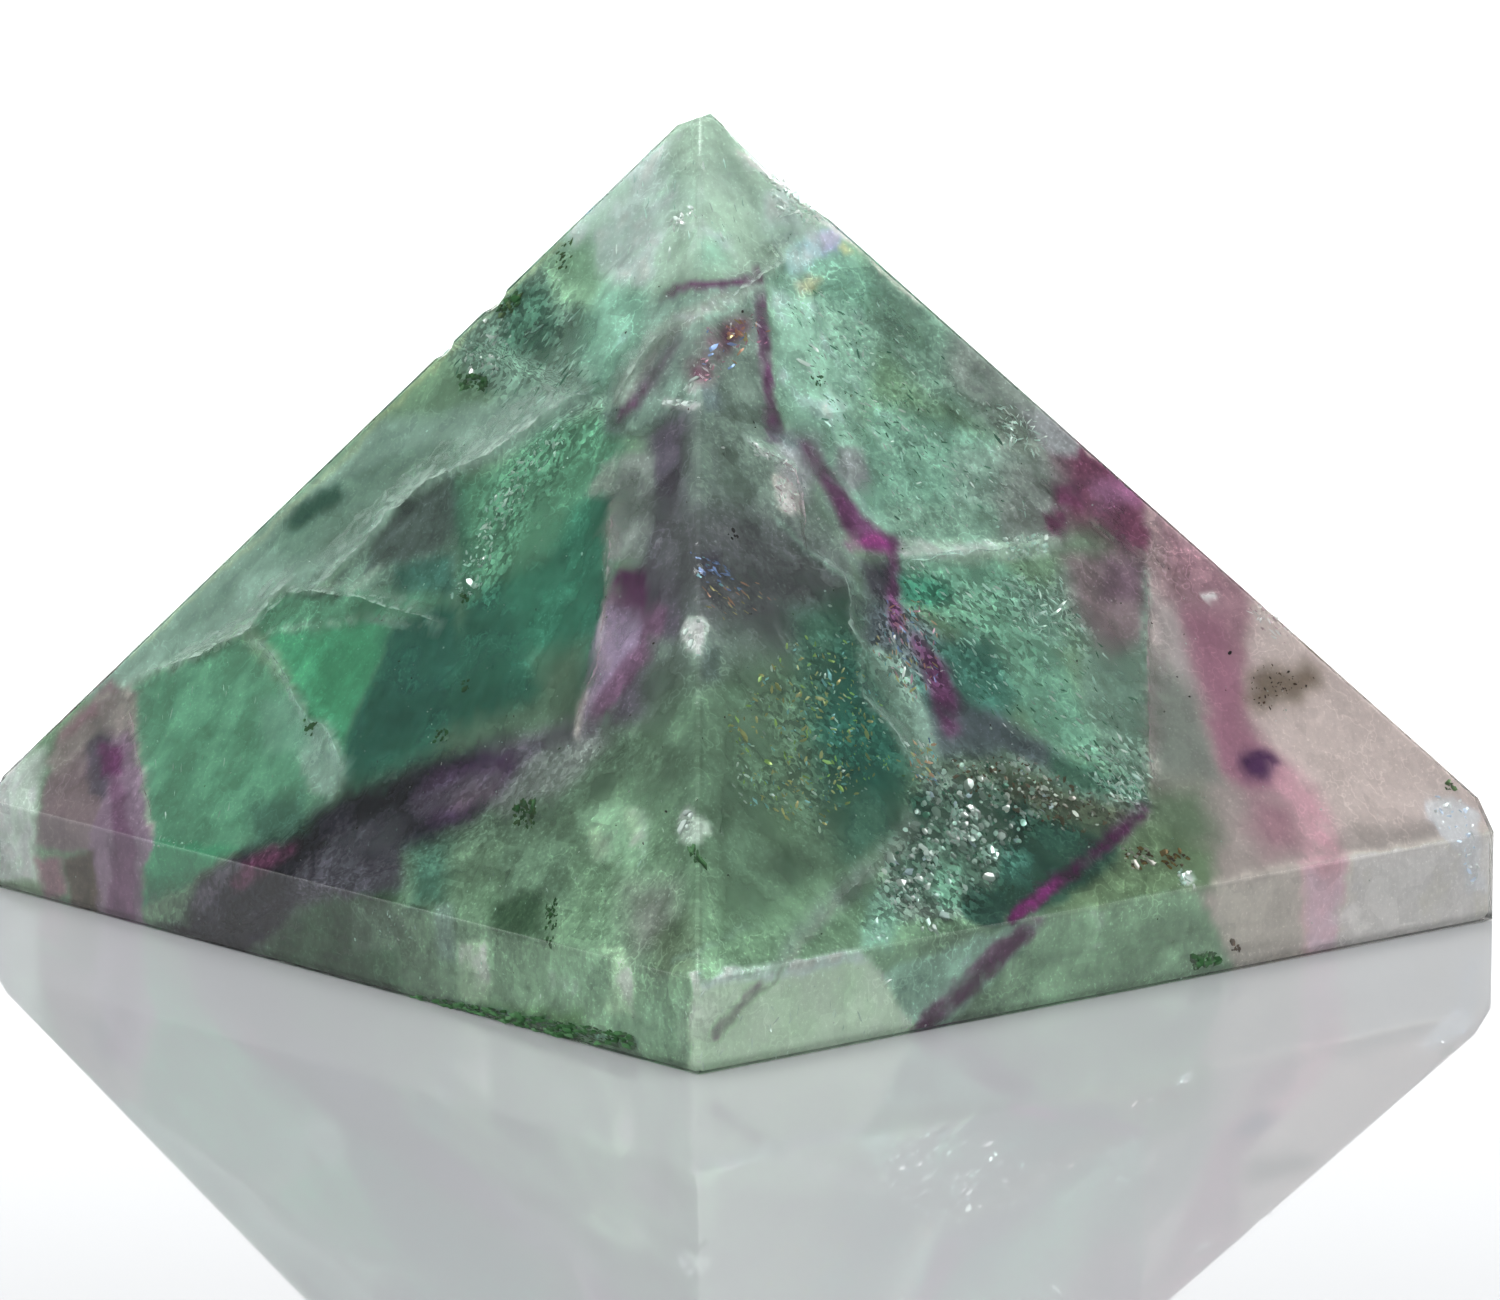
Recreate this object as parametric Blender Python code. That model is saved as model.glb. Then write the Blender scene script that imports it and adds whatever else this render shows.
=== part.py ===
"""Fluorite pyramid: one hand-cut and polished stone.

Four sloping faces run from a low upright skirt to an apex that lies off the centre of the base.
The tip is broken off, the corners are worn, and a few flakes are missing from the ridges.
Units are metres, +Z is up, and the stone stands on the plane z = 0 with its middle at the origin.
"""

from math import cos, radians, sin

import bmesh
import bpy
from mathutils import Matrix, Vector

MM = 0.001

# Base rectangle, between the upright faces.
BASE_X = 40.0 * MM
BASE_Y = 37.1 * MM

# Point where the four sloping faces would meet if the tip were whole.
APEX = Vector((1.5, -2.8, 29.2)) * MM

# Skirt: outward direction of each upright face, its height, and how far it leans out, in degrees.
SKIRT = {
    "right": (Vector((1, 0, 0)), 3.2 * MM, 0.0),
    "front": (Vector((0, -1, 0)), 3.3 * MM, 1.3),
    "left": (Vector((-1, 0, 0)), 3.6 * MM, 0.0),
    "back": (Vector((0, 1, 0)), 4.3 * MM, 0.0),
}

# Broken tip and worn corners: a point on each break and the direction that it faces.
BREAKS = {
    "tip": (Vector((1.5, -2.8, 28.72)) * MM, Vector((-0.30, -0.22, 1.0))),
    "right_back_corner": (Vector((19.9, 18.45, 3.9)) * MM, Vector((1.0, 1.0, 0.9))),
    "left_back_corner": (Vector((-19.8, 18.35, 3.7)) * MM, Vector((-1.0, 1.0, 0.8))),
    "left_front_corner": (Vector((-19.85, -18.4, 3.2)) * MM, Vector((-1.0, -1.0, 0.6))),
}

# Width of the polished easing along every edge, and of the wider one round the base.
EDGE_EASE = 0.14 * MM
BASE_EASE = 0.20 * MM

# Flakes lost from the ridges: the corner that the ridge runs to, how far down the ridge from the
# apex the flake is, from 0 to 1, its length along the ridge and its depth.
FLAKES = [
    ("right_back", 0.095, 6.4 * MM, 0.26 * MM),
    ("right_back", 0.71, 1.2 * MM, 0.14 * MM),
    ("left_front", 0.28, 1.5 * MM, 0.18 * MM),
    ("left_front", 0.35, 1.2 * MM, 0.16 * MM),
    ("right_front", 0.55, 0.9 * MM, 0.14 * MM),
    ("left_back", 0.44, 1.6 * MM, 0.16 * MM),
]
CORNER_SIGNS = {
    "right_front": (1, -1),
    "right_back": (1, 1),
    "left_front": (-1, -1),
    "left_back": (-1, 1),
}
FLAKE_RINGS = 8
FLAKE_SEGMENTS = 12

STONE_GREEN = (0.36, 0.60, 0.48, 1.0)


def base_reach(direction):
    """Distance from the middle of the base to the upright face on that side."""
    return abs(direction.x) * BASE_X / 2 + abs(direction.y) * BASE_Y / 2


def cut(bm, point, normal):
    """Remove all that lies beyond a plane and close the body with a flat face."""
    geometry = bm.verts[:] + bm.edges[:] + bm.faces[:]
    bmesh.ops.bisect_plane(
        bm, geom=geometry, dist=1e-7, plane_co=point, plane_no=normal, clear_outer=True
    )
    rim = [edge for edge in bm.edges if edge.is_boundary]
    if rim:
        bmesh.ops.contextual_create(bm, geom=rim)


def saw_block(bm):
    """The sawn block that the pyramid is ground from, larger than the stone on every side."""
    size = 2 * max(BASE_X, BASE_Y)
    bmesh.ops.create_cube(bm, size=size, matrix=Matrix.Translation((0, 0, size / 2)))


def grind_skirt(bm):
    for direction, _height, lean in SKIRT.values():
        normal = direction * cos(radians(lean)) - Vector((0, 0, sin(radians(lean))))
        cut(bm, direction * base_reach(direction), normal)


def grind_slopes(bm):
    """Each sloping face holds the apex and the level line along the top of its skirt."""
    for direction, height, _lean in SKIRT.values():
        reach = base_reach(direction)
        rise = APEX.z - height
        run = reach - APEX.dot(direction)
        cut(bm, APEX, direction * rise + Vector((0, 0, run)))


def break_corners(bm):
    for point, normal in BREAKS.values():
        cut(bm, point, normal)


def ease_edges(bm):
    """Round the edges a little, and those that touch the ground a little more."""
    on_ground = [edge for edge in bm.edges if all(v.co.z < 1e-6 for v in edge.verts)]
    raised = [edge for edge in bm.edges if edge not in on_ground]
    bmesh.ops.bevel(
        bm, geom=raised, offset=EDGE_EASE, segments=2, profile=0.5, affect="EDGES",
        clamp_overlap=True,
    )
    on_ground = [edge for edge in bm.edges if all(v.co.z < 1e-6 for v in edge.verts)]
    bmesh.ops.bevel(
        bm, geom=on_ground, offset=BASE_EASE, segments=1, profile=0.5, affect="EDGES",
        clamp_overlap=True,
    )


def centre_on_origin(bm):
    xs = [v.co.x for v in bm.verts]
    ys = [v.co.y for v in bm.verts]
    middle = Vector(((min(xs) + max(xs)) / 2, (min(ys) + max(ys)) / 2, 0))
    bmesh.ops.translate(bm, verts=bm.verts[:], vec=-middle)
    return middle


def stone_material():
    material = bpy.data.materials.new("fluorite")
    material.use_nodes = True
    shader = material.node_tree.nodes["Principled BSDF"]
    shader.inputs["Base Color"].default_value = STONE_GREEN
    shader.inputs["Metallic"].default_value = 0.0
    shader.inputs["Roughness"].default_value = 0.06
    shader.inputs["IOR"].default_value = 1.434
    shader.inputs["Transmission Weight"].default_value = 0.8
    return material


def make_stone():
    bm = bmesh.new()
    saw_block(bm)
    grind_skirt(bm)
    grind_slopes(bm)
    break_corners(bm)
    ease_edges(bm)
    middle = centre_on_origin(bm)
    bmesh.ops.recalc_face_normals(bm, faces=bm.faces[:])
    mesh = bpy.data.meshes.new("fluorite_pyramid")
    bm.to_mesh(mesh)
    bm.free()
    mesh.materials.append(stone_material())
    stone = bpy.data.objects.new("fluorite_pyramid", mesh)
    bpy.context.scene.collection.objects.link(stone)
    return stone, middle


def corner_top(corner, middle):
    """Upper end of a corner's upright edge, where its ridge starts."""
    sign_x, sign_y = CORNER_SIGNS[corner]
    height_x = SKIRT["right" if sign_x > 0 else "left"][1]
    height_y = SKIRT["back" if sign_y > 0 else "front"][1]
    top = Vector((sign_x * BASE_X / 2, sign_y * BASE_Y / 2, (height_x + height_y) / 2))
    return top - middle


def strike_flake(stone, name, corner, along, length, depth, middle):
    """Scoop a shallow shell-shaped hollow out of a ridge with a hidden cutter."""
    apex = APEX - middle
    foot = corner_top(corner, middle)
    ridge = (foot - apex).normalized()
    spot = apex.lerp(foot, along)
    sign_x, sign_y = CORNER_SIGNS[corner]
    outward = Vector((sign_x, sign_y, 0)).normalized()
    outward = (outward - ridge * outward.dot(ridge)).normalized()
    across = ridge.cross(outward)

    bm = bmesh.new()
    bmesh.ops.create_uvsphere(bm, u_segments=FLAKE_SEGMENTS, v_segments=FLAKE_RINGS, radius=0.5)
    swell = 2.2 * depth
    axes = Matrix((ridge * length, outward * 2 * swell, across * 4 * swell)).transposed()
    place = Matrix.Translation(spot + outward * (swell - depth)) @ axes.to_4x4()
    bmesh.ops.transform(bm, matrix=place, verts=bm.verts[:])
    bmesh.ops.recalc_face_normals(bm, faces=bm.faces[:])
    mesh = bpy.data.meshes.new(name)
    bm.to_mesh(mesh)
    bm.free()
    cutter = bpy.data.objects.new(name, mesh)
    bpy.context.scene.collection.objects.link(cutter)
    cutter.hide_render = True
    cutter.display_type = "WIRE"

    scoop = stone.modifiers.new(name, "BOOLEAN")
    scoop.operation = "DIFFERENCE"
    scoop.solver = "EXACT"
    scoop.object = cutter


def main():
    for thing in list(bpy.data.objects):
        bpy.data.objects.remove(thing, do_unlink=True)
    stone, middle = make_stone()
    for number, (corner, along, length, depth) in enumerate(FLAKES, start=1):
        strike_flake(stone, f"flake_cutter_{number}", corner, along, length, depth, middle)


main()
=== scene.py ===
"""Looks of the fluorite pyramid: a polished, see-through stone with its growth zones,
purple bands, fractures, glints and specks sealed inside, on a pale glossy table."""

from math import cos, pi, radians, sin

import bmesh
import bpy
import numpy as np
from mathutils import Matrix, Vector, noise


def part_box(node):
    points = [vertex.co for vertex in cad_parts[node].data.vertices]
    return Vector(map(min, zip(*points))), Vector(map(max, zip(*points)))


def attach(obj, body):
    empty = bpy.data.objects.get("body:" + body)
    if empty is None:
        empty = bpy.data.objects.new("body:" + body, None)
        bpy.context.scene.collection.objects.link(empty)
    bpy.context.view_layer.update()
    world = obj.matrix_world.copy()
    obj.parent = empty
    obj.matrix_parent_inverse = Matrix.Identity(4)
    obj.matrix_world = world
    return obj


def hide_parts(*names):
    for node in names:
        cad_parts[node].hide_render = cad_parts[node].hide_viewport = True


MM = 0.001
BODY = "root"
STONE_NODE = "fluorite_pyramid"
IOR = 1.434

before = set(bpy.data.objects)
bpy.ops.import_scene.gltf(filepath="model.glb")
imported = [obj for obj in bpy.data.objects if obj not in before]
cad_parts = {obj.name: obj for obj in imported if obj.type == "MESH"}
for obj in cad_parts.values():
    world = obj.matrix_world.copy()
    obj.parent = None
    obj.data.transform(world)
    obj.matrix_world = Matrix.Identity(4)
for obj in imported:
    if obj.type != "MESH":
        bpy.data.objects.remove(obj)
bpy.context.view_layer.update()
CAD_LOW, CAD_HIGH = (Vector(corner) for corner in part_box(STONE_NODE))
SIDE = CAD_HIGH.x - CAD_LOW.x


# ---------------------------------------------------------------- camera

PICTURE_W = 1500
PICTURE_H = 1300
CAMERA_AZIMUTH = 49.36
CAMERA_ELEVATION = 10.1
CAMERA_DISTANCE = 7.0 * SIDE
FOCAL_PIXELS = 7811
TARGET_RIGHT = 0.0162 * SIDE
TARGET_UP = 0.2306 * SIDE
SENSOR_MM = 36.0
CLIP_NEAR = 5 * MM
CLIP_FAR = 50.0


def make_camera():
    azimuth = radians(CAMERA_AZIMUTH)
    elevation = radians(CAMERA_ELEVATION)
    back = Vector((sin(azimuth) * cos(elevation), -cos(azimuth) * cos(elevation), sin(elevation)))
    right = Vector((cos(azimuth), sin(azimuth), 0))
    data = bpy.data.cameras.new("camera")
    camera = bpy.data.objects.new("camera", data)
    bpy.context.scene.collection.objects.link(camera)
    camera.location = right * TARGET_RIGHT + Vector((0, 0, TARGET_UP)) + back * CAMERA_DISTANCE
    camera.rotation_euler = back.to_track_quat("Z", "Y").to_euler()
    data.sensor_fit = "HORIZONTAL"
    data.sensor_width = SENSOR_MM
    data.lens = FOCAL_PIXELS / PICTURE_W * SENSOR_MM
    data.clip_start = CLIP_NEAR
    data.clip_end = CLIP_FAR
    bpy.context.scene.camera = camera
    return np.array(camera.location), np.array(right), np.array(back.cross(right)), np.array(back)


EYE, EYE_RIGHT, EYE_UP, EYE_BACK = make_camera()


# ---------------------------------------------------------------- seeing into the stone

# what counts as a wide face, and how far off its face a line of sight may enter the stone
WIDE_FACE = 50 * MM * MM
OUTSIDE_COST = 30


def unit(v):
    v = np.asarray(v, float)
    return v / np.linalg.norm(v, axis=-1, keepdims=True)


def largest_plane(direction):
    """Point and outward normal of the widest flat face of the stone that faces one way."""
    groups = {}
    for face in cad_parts[STONE_NODE].data.polygons:
        key = tuple(round(c, 2) for c in face.normal)
        size, middle, normal = groups.get(key, (0.0, Vector(), Vector()))
        groups[key] = (size + face.area, middle + face.center * face.area, normal + face.normal)
    wide = [g for g in groups.values() if g[0] > WIDE_FACE]
    size, middle, normal = max(wide, key=lambda g: g[2].normalized().dot(Vector(direction)))
    return np.array(middle / size), unit(np.array(normal))


PLANES = {
    "right_slope": largest_plane((0.8, 0, 0.6)),
    "front_slope": largest_plane((0, -0.85, 0.5)),
    "right_skirt": largest_plane((1, 0, 0)),
    "front_skirt": largest_plane((0, -1, 0)),
}
STONE_FACES = list(PLANES.values()) + [largest_plane(way) for way in (
    (-0.8, 0, 0.6), (0, 0.8, 0.6), (-1, 0, 0), (0, 1, 0), (0, 0, -1))]


def face_distances(points):
    """How far points lie inside each of the stone's nine wide faces, nearest face first."""
    points = np.atleast_2d(points)
    distances = np.stack([(origin - points) @ normal for origin, normal in STONE_FACES], axis=-1)
    return np.sort(distances, axis=-1)


def refract(direction, normal):
    cos_in = -float(np.dot(direction, normal))
    ratio = 1 / IOR
    cos_out = np.sqrt(1 - ratio * ratio * (1 - cos_in * cos_in))
    return unit(ratio * direction + (ratio * cos_in - cos_out) * normal)


INWARD = {name: refract(-EYE_BACK, normal) for name, (point, normal) in PLANES.items()}


def to_picture(points):
    """Picture coordinates of points on the outside of the stone."""
    offset = np.asarray(points, float) - EYE
    depth = -(offset @ EYE_BACK)
    u = PICTURE_W / 2 + FOCAL_PIXELS * (offset @ EYE_RIGHT) / depth
    v = PICTURE_H / 2 - FOCAL_PIXELS * (offset @ EYE_UP) / depth
    return np.stack([u, v], axis=-1)


def inside(u, v, depth):
    """Point that appears at a picture position, so far behind the stone's surface."""
    ray = unit(EYE_RIGHT * (u - PICTURE_W / 2) + EYE_UP * (PICTURE_H / 2 - v) - EYE_BACK * FOCAL_PIXELS)
    reach = {}
    for name, (point, normal) in PLANES.items():
        reach[name] = float(np.dot(point - EYE, normal) / np.dot(ray, normal))
    name = max(reach, key=reach.get)
    return EYE + ray * reach[name] + refract(ray, PLANES[name][1]) * depth


def seen_at(points):
    """Picture coordinates and depth at which points in the stone are seen from the front."""
    points = np.asarray(points, float)
    best_cost = np.full(len(points), np.inf)
    uv = np.zeros((len(points), 2))
    depth = np.zeros(len(points))
    for name, (origin, normal) in PLANES.items():
        inward = INWARD[name]
        travel = np.maximum(((points - origin) @ normal) / float(inward @ normal), 0)
        entry = points - inward * travel[:, None]
        outside = np.zeros(len(points))
        for other_origin, other_normal in PLANES.values():
            outside = np.maximum(outside, (entry - other_origin) @ other_normal)
        cost = travel + OUTSIDE_COST * outside
        better = cost < best_cost
        best_cost[better] = cost[better]
        uv[better] = to_picture(entry[better])
        depth[better] = travel[better]
    return uv, depth


# ---------------------------------------------------------------- shapes drawn in the picture plane

TINY = 1e-9


def smooth(x):
    x = np.clip(x, 0, 1)
    return x * x * (3 - 2 * x)


def segment_distance(uv, start, end):
    start, end = np.asarray(start, float), np.asarray(end, float)
    along = end - start
    t = np.clip(((uv - start) @ along) / (along @ along), 0, 1)
    return np.linalg.norm(uv - start - t[:, None] * along, axis=1), t


def near_box(uv, corners, margin):
    """Which points lie in the box round some corners."""
    corners = np.asarray(corners, float)[:, :2]
    low = corners.min(axis=0) - margin
    high = corners.max(axis=0) + margin
    return np.nonzero(((uv > low) & (uv < high)).all(axis=1))[0]


def area(uv, corners, soft):
    """1 inside a polygon, 0 outside, with an edge that fades over soft picture units."""
    value = np.zeros(len(uv))
    near = near_box(uv, corners, soft)
    at = uv[near]
    distance = np.full(len(at), np.inf)
    odd = np.zeros(len(at), bool)
    for start, end in zip(corners, corners[1:] + corners[:1]):
        distance = np.minimum(distance, segment_distance(at, start, end)[0])
        crosses = (start[1] > at[:, 1]) != (end[1] > at[:, 1])
        rise = (end[1] - start[1]) or TINY
        odd ^= crosses & (at[:, 0] < start[0] + (at[:, 1] - start[1]) / rise * (end[0] - start[0]))
    value[near] = smooth(0.5 + np.where(odd, distance, -distance) / soft)
    return value


def stroke(uv, line, soft):
    """1 on a line whose points are (u, v, half width), fading out over soft picture units."""
    value = np.zeros(len(uv))
    near = near_box(uv, line, soft + max(point[2] for point in line))
    for start, end in zip(line, line[1:]):
        distance, t = segment_distance(uv[near], start[:2], end[:2])
        half = start[2] + (end[2] - start[2]) * t
        value[near] = np.maximum(value[near], smooth(0.5 - (distance - half) / soft))
    return value


# how far apart the seeds read their noise, so that no two share a pattern
SEED_STEPS = (3.7, -2.3, 1.9)
SOFT_NOISE, ROUGH_NOISE = 0.9, 0.8
OCTAVE_STEP = 2.0


def noise_field(points, scale, seed, octaves):
    """Smooth noise from -1 to 1 with features about scale metres wide."""
    shift = Vector([seed * step for step in SEED_STEPS])
    return np.array([noise.fractal(Vector(p) / scale + shift, SOFT_NOISE, OCTAVE_STEP, octaves)
                     for p in points])


# ---------------------------------------------------------------- tables

def number_or_word(word):
    try:
        return float(word)
    except ValueError:
        return word


def table(text):
    """Rows of words and numbers, each with one or two lists of picture points after a bar."""
    rows = []
    for line in text.strip().replace("\n    ", " ").splitlines():
        heads, *lists = line.split("|")
        lists = [[tuple(map(float, point.split(","))) for point in points.split()] for points in lists]
        rows.append((*map(number_or_word, heads.split()), *lists))
    return rows


def named_colours(text):
    """Colours by name: each is its name, red, green and blue, with a bar or a new line after it."""
    entries = [entry.split() for entry in text.strip().replace("\n", "|").split("|")]
    return {name: tuple(map(float, rgb)) for name, *rgb in entries}


# ---------------------------------------------------------------- growth zones

# how each kind of stone looks where light comes through it: red, green, blue
PALETTE = named_colours("""
mint 0.375 0.5 0.41 | frost 0.48 0.65 0.55 | mist 0.25 0.37 0.31 | aqua 0.285 0.465 0.37
sea 0.23 0.41 0.32 | jade 0.17 0.34 0.25 | leaf 0.12 0.29 0.19 | emerald 0.078 0.3 0.17
pine 0.062 0.145 0.105 | teal 0.032 0.125 0.095 | sage 0.165 0.265 0.21 | moss 0.18 0.26 0.17
smoke 0.165 0.225 0.19 | ash 0.185 0.21 0.185 | slate 0.072 0.072 0.088 | ink 0.016 0.017 0.022
plum 0.105 0.095 0.122 | purple 0.125 0.045 0.11 | magenta 0.22 0.035 0.17 | mauve 0.17 0.1 0.16
lilac 0.25 0.19 0.25 | maroon 0.165 0.058 0.105 | wine 0.11 0.035 0.075 | rose 0.29 0.185 0.215
pink 0.66 0.44 0.49 | beige 0.47 0.415 0.395 | shell 0.64 0.6 0.545 | taupe 0.32 0.29 0.275
brown 0.1 0.085 0.065 | sap 0.23 0.37 0.25 | celadon 0.46 0.66 0.46 | thicket 0.115 0.19 0.13
lichen 0.17 0.28 0.185 | dusk 0.28 0.15 0.2 | damson 0.075 0.018 0.065 | chalk 0.66 0.74 0.7
viridian 0.05 0.2 0.135 | lagoon 0.034 0.13 0.092 | graphite 0.09 0.128 0.115 | sky 0.42 0.6 0.8
cyan 0.36 0.66 0.66 | violet 0.4 0.38 0.66 | straw 0.56 0.6 0.34 | dust 0.215 0.175 0.185
snow 0.63 0.69 0.76 | peat 0.17 0.14 0.11 | spangle 0.085 0.15 0.115 | pearl 0.5 0.6 0.53
grape 0.14 0.1 0.125 | mire 0.032 0.085 0.062 | oat 0.46 0.44 0.4 | pewter 0.205 0.24 0.22
fog 0.36 0.34 0.33 | kelp 0.06 0.17 0.135 | hay 0.115 0.165 0.11 | olive 0.13 0.195 0.118
clover 0.11 0.24 0.105 | willow 0.27 0.44 0.3 | flint 0.28 0.33 0.29 | bruise 0.06 0.025 0.075
stormy 0.108 0.118 0.122 | blush 0.48 0.305 0.35 | abyss 0.03 0.084 0.064 | taupe_moss 0.085 0.105 0.072
orchid 0.33 0.26 0.37 | fuchsia 0.8 0.1 0.42 | orchid_dark 0.3 0.14 0.25 | steel 0.125 0.165 0.17
dove 0.32 0.34 0.35 | storm_blue 0.082 0.104 0.115 | dregs 0.02 0.02 0.028 | fen 0.05 0.105 0.06
""")
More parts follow.
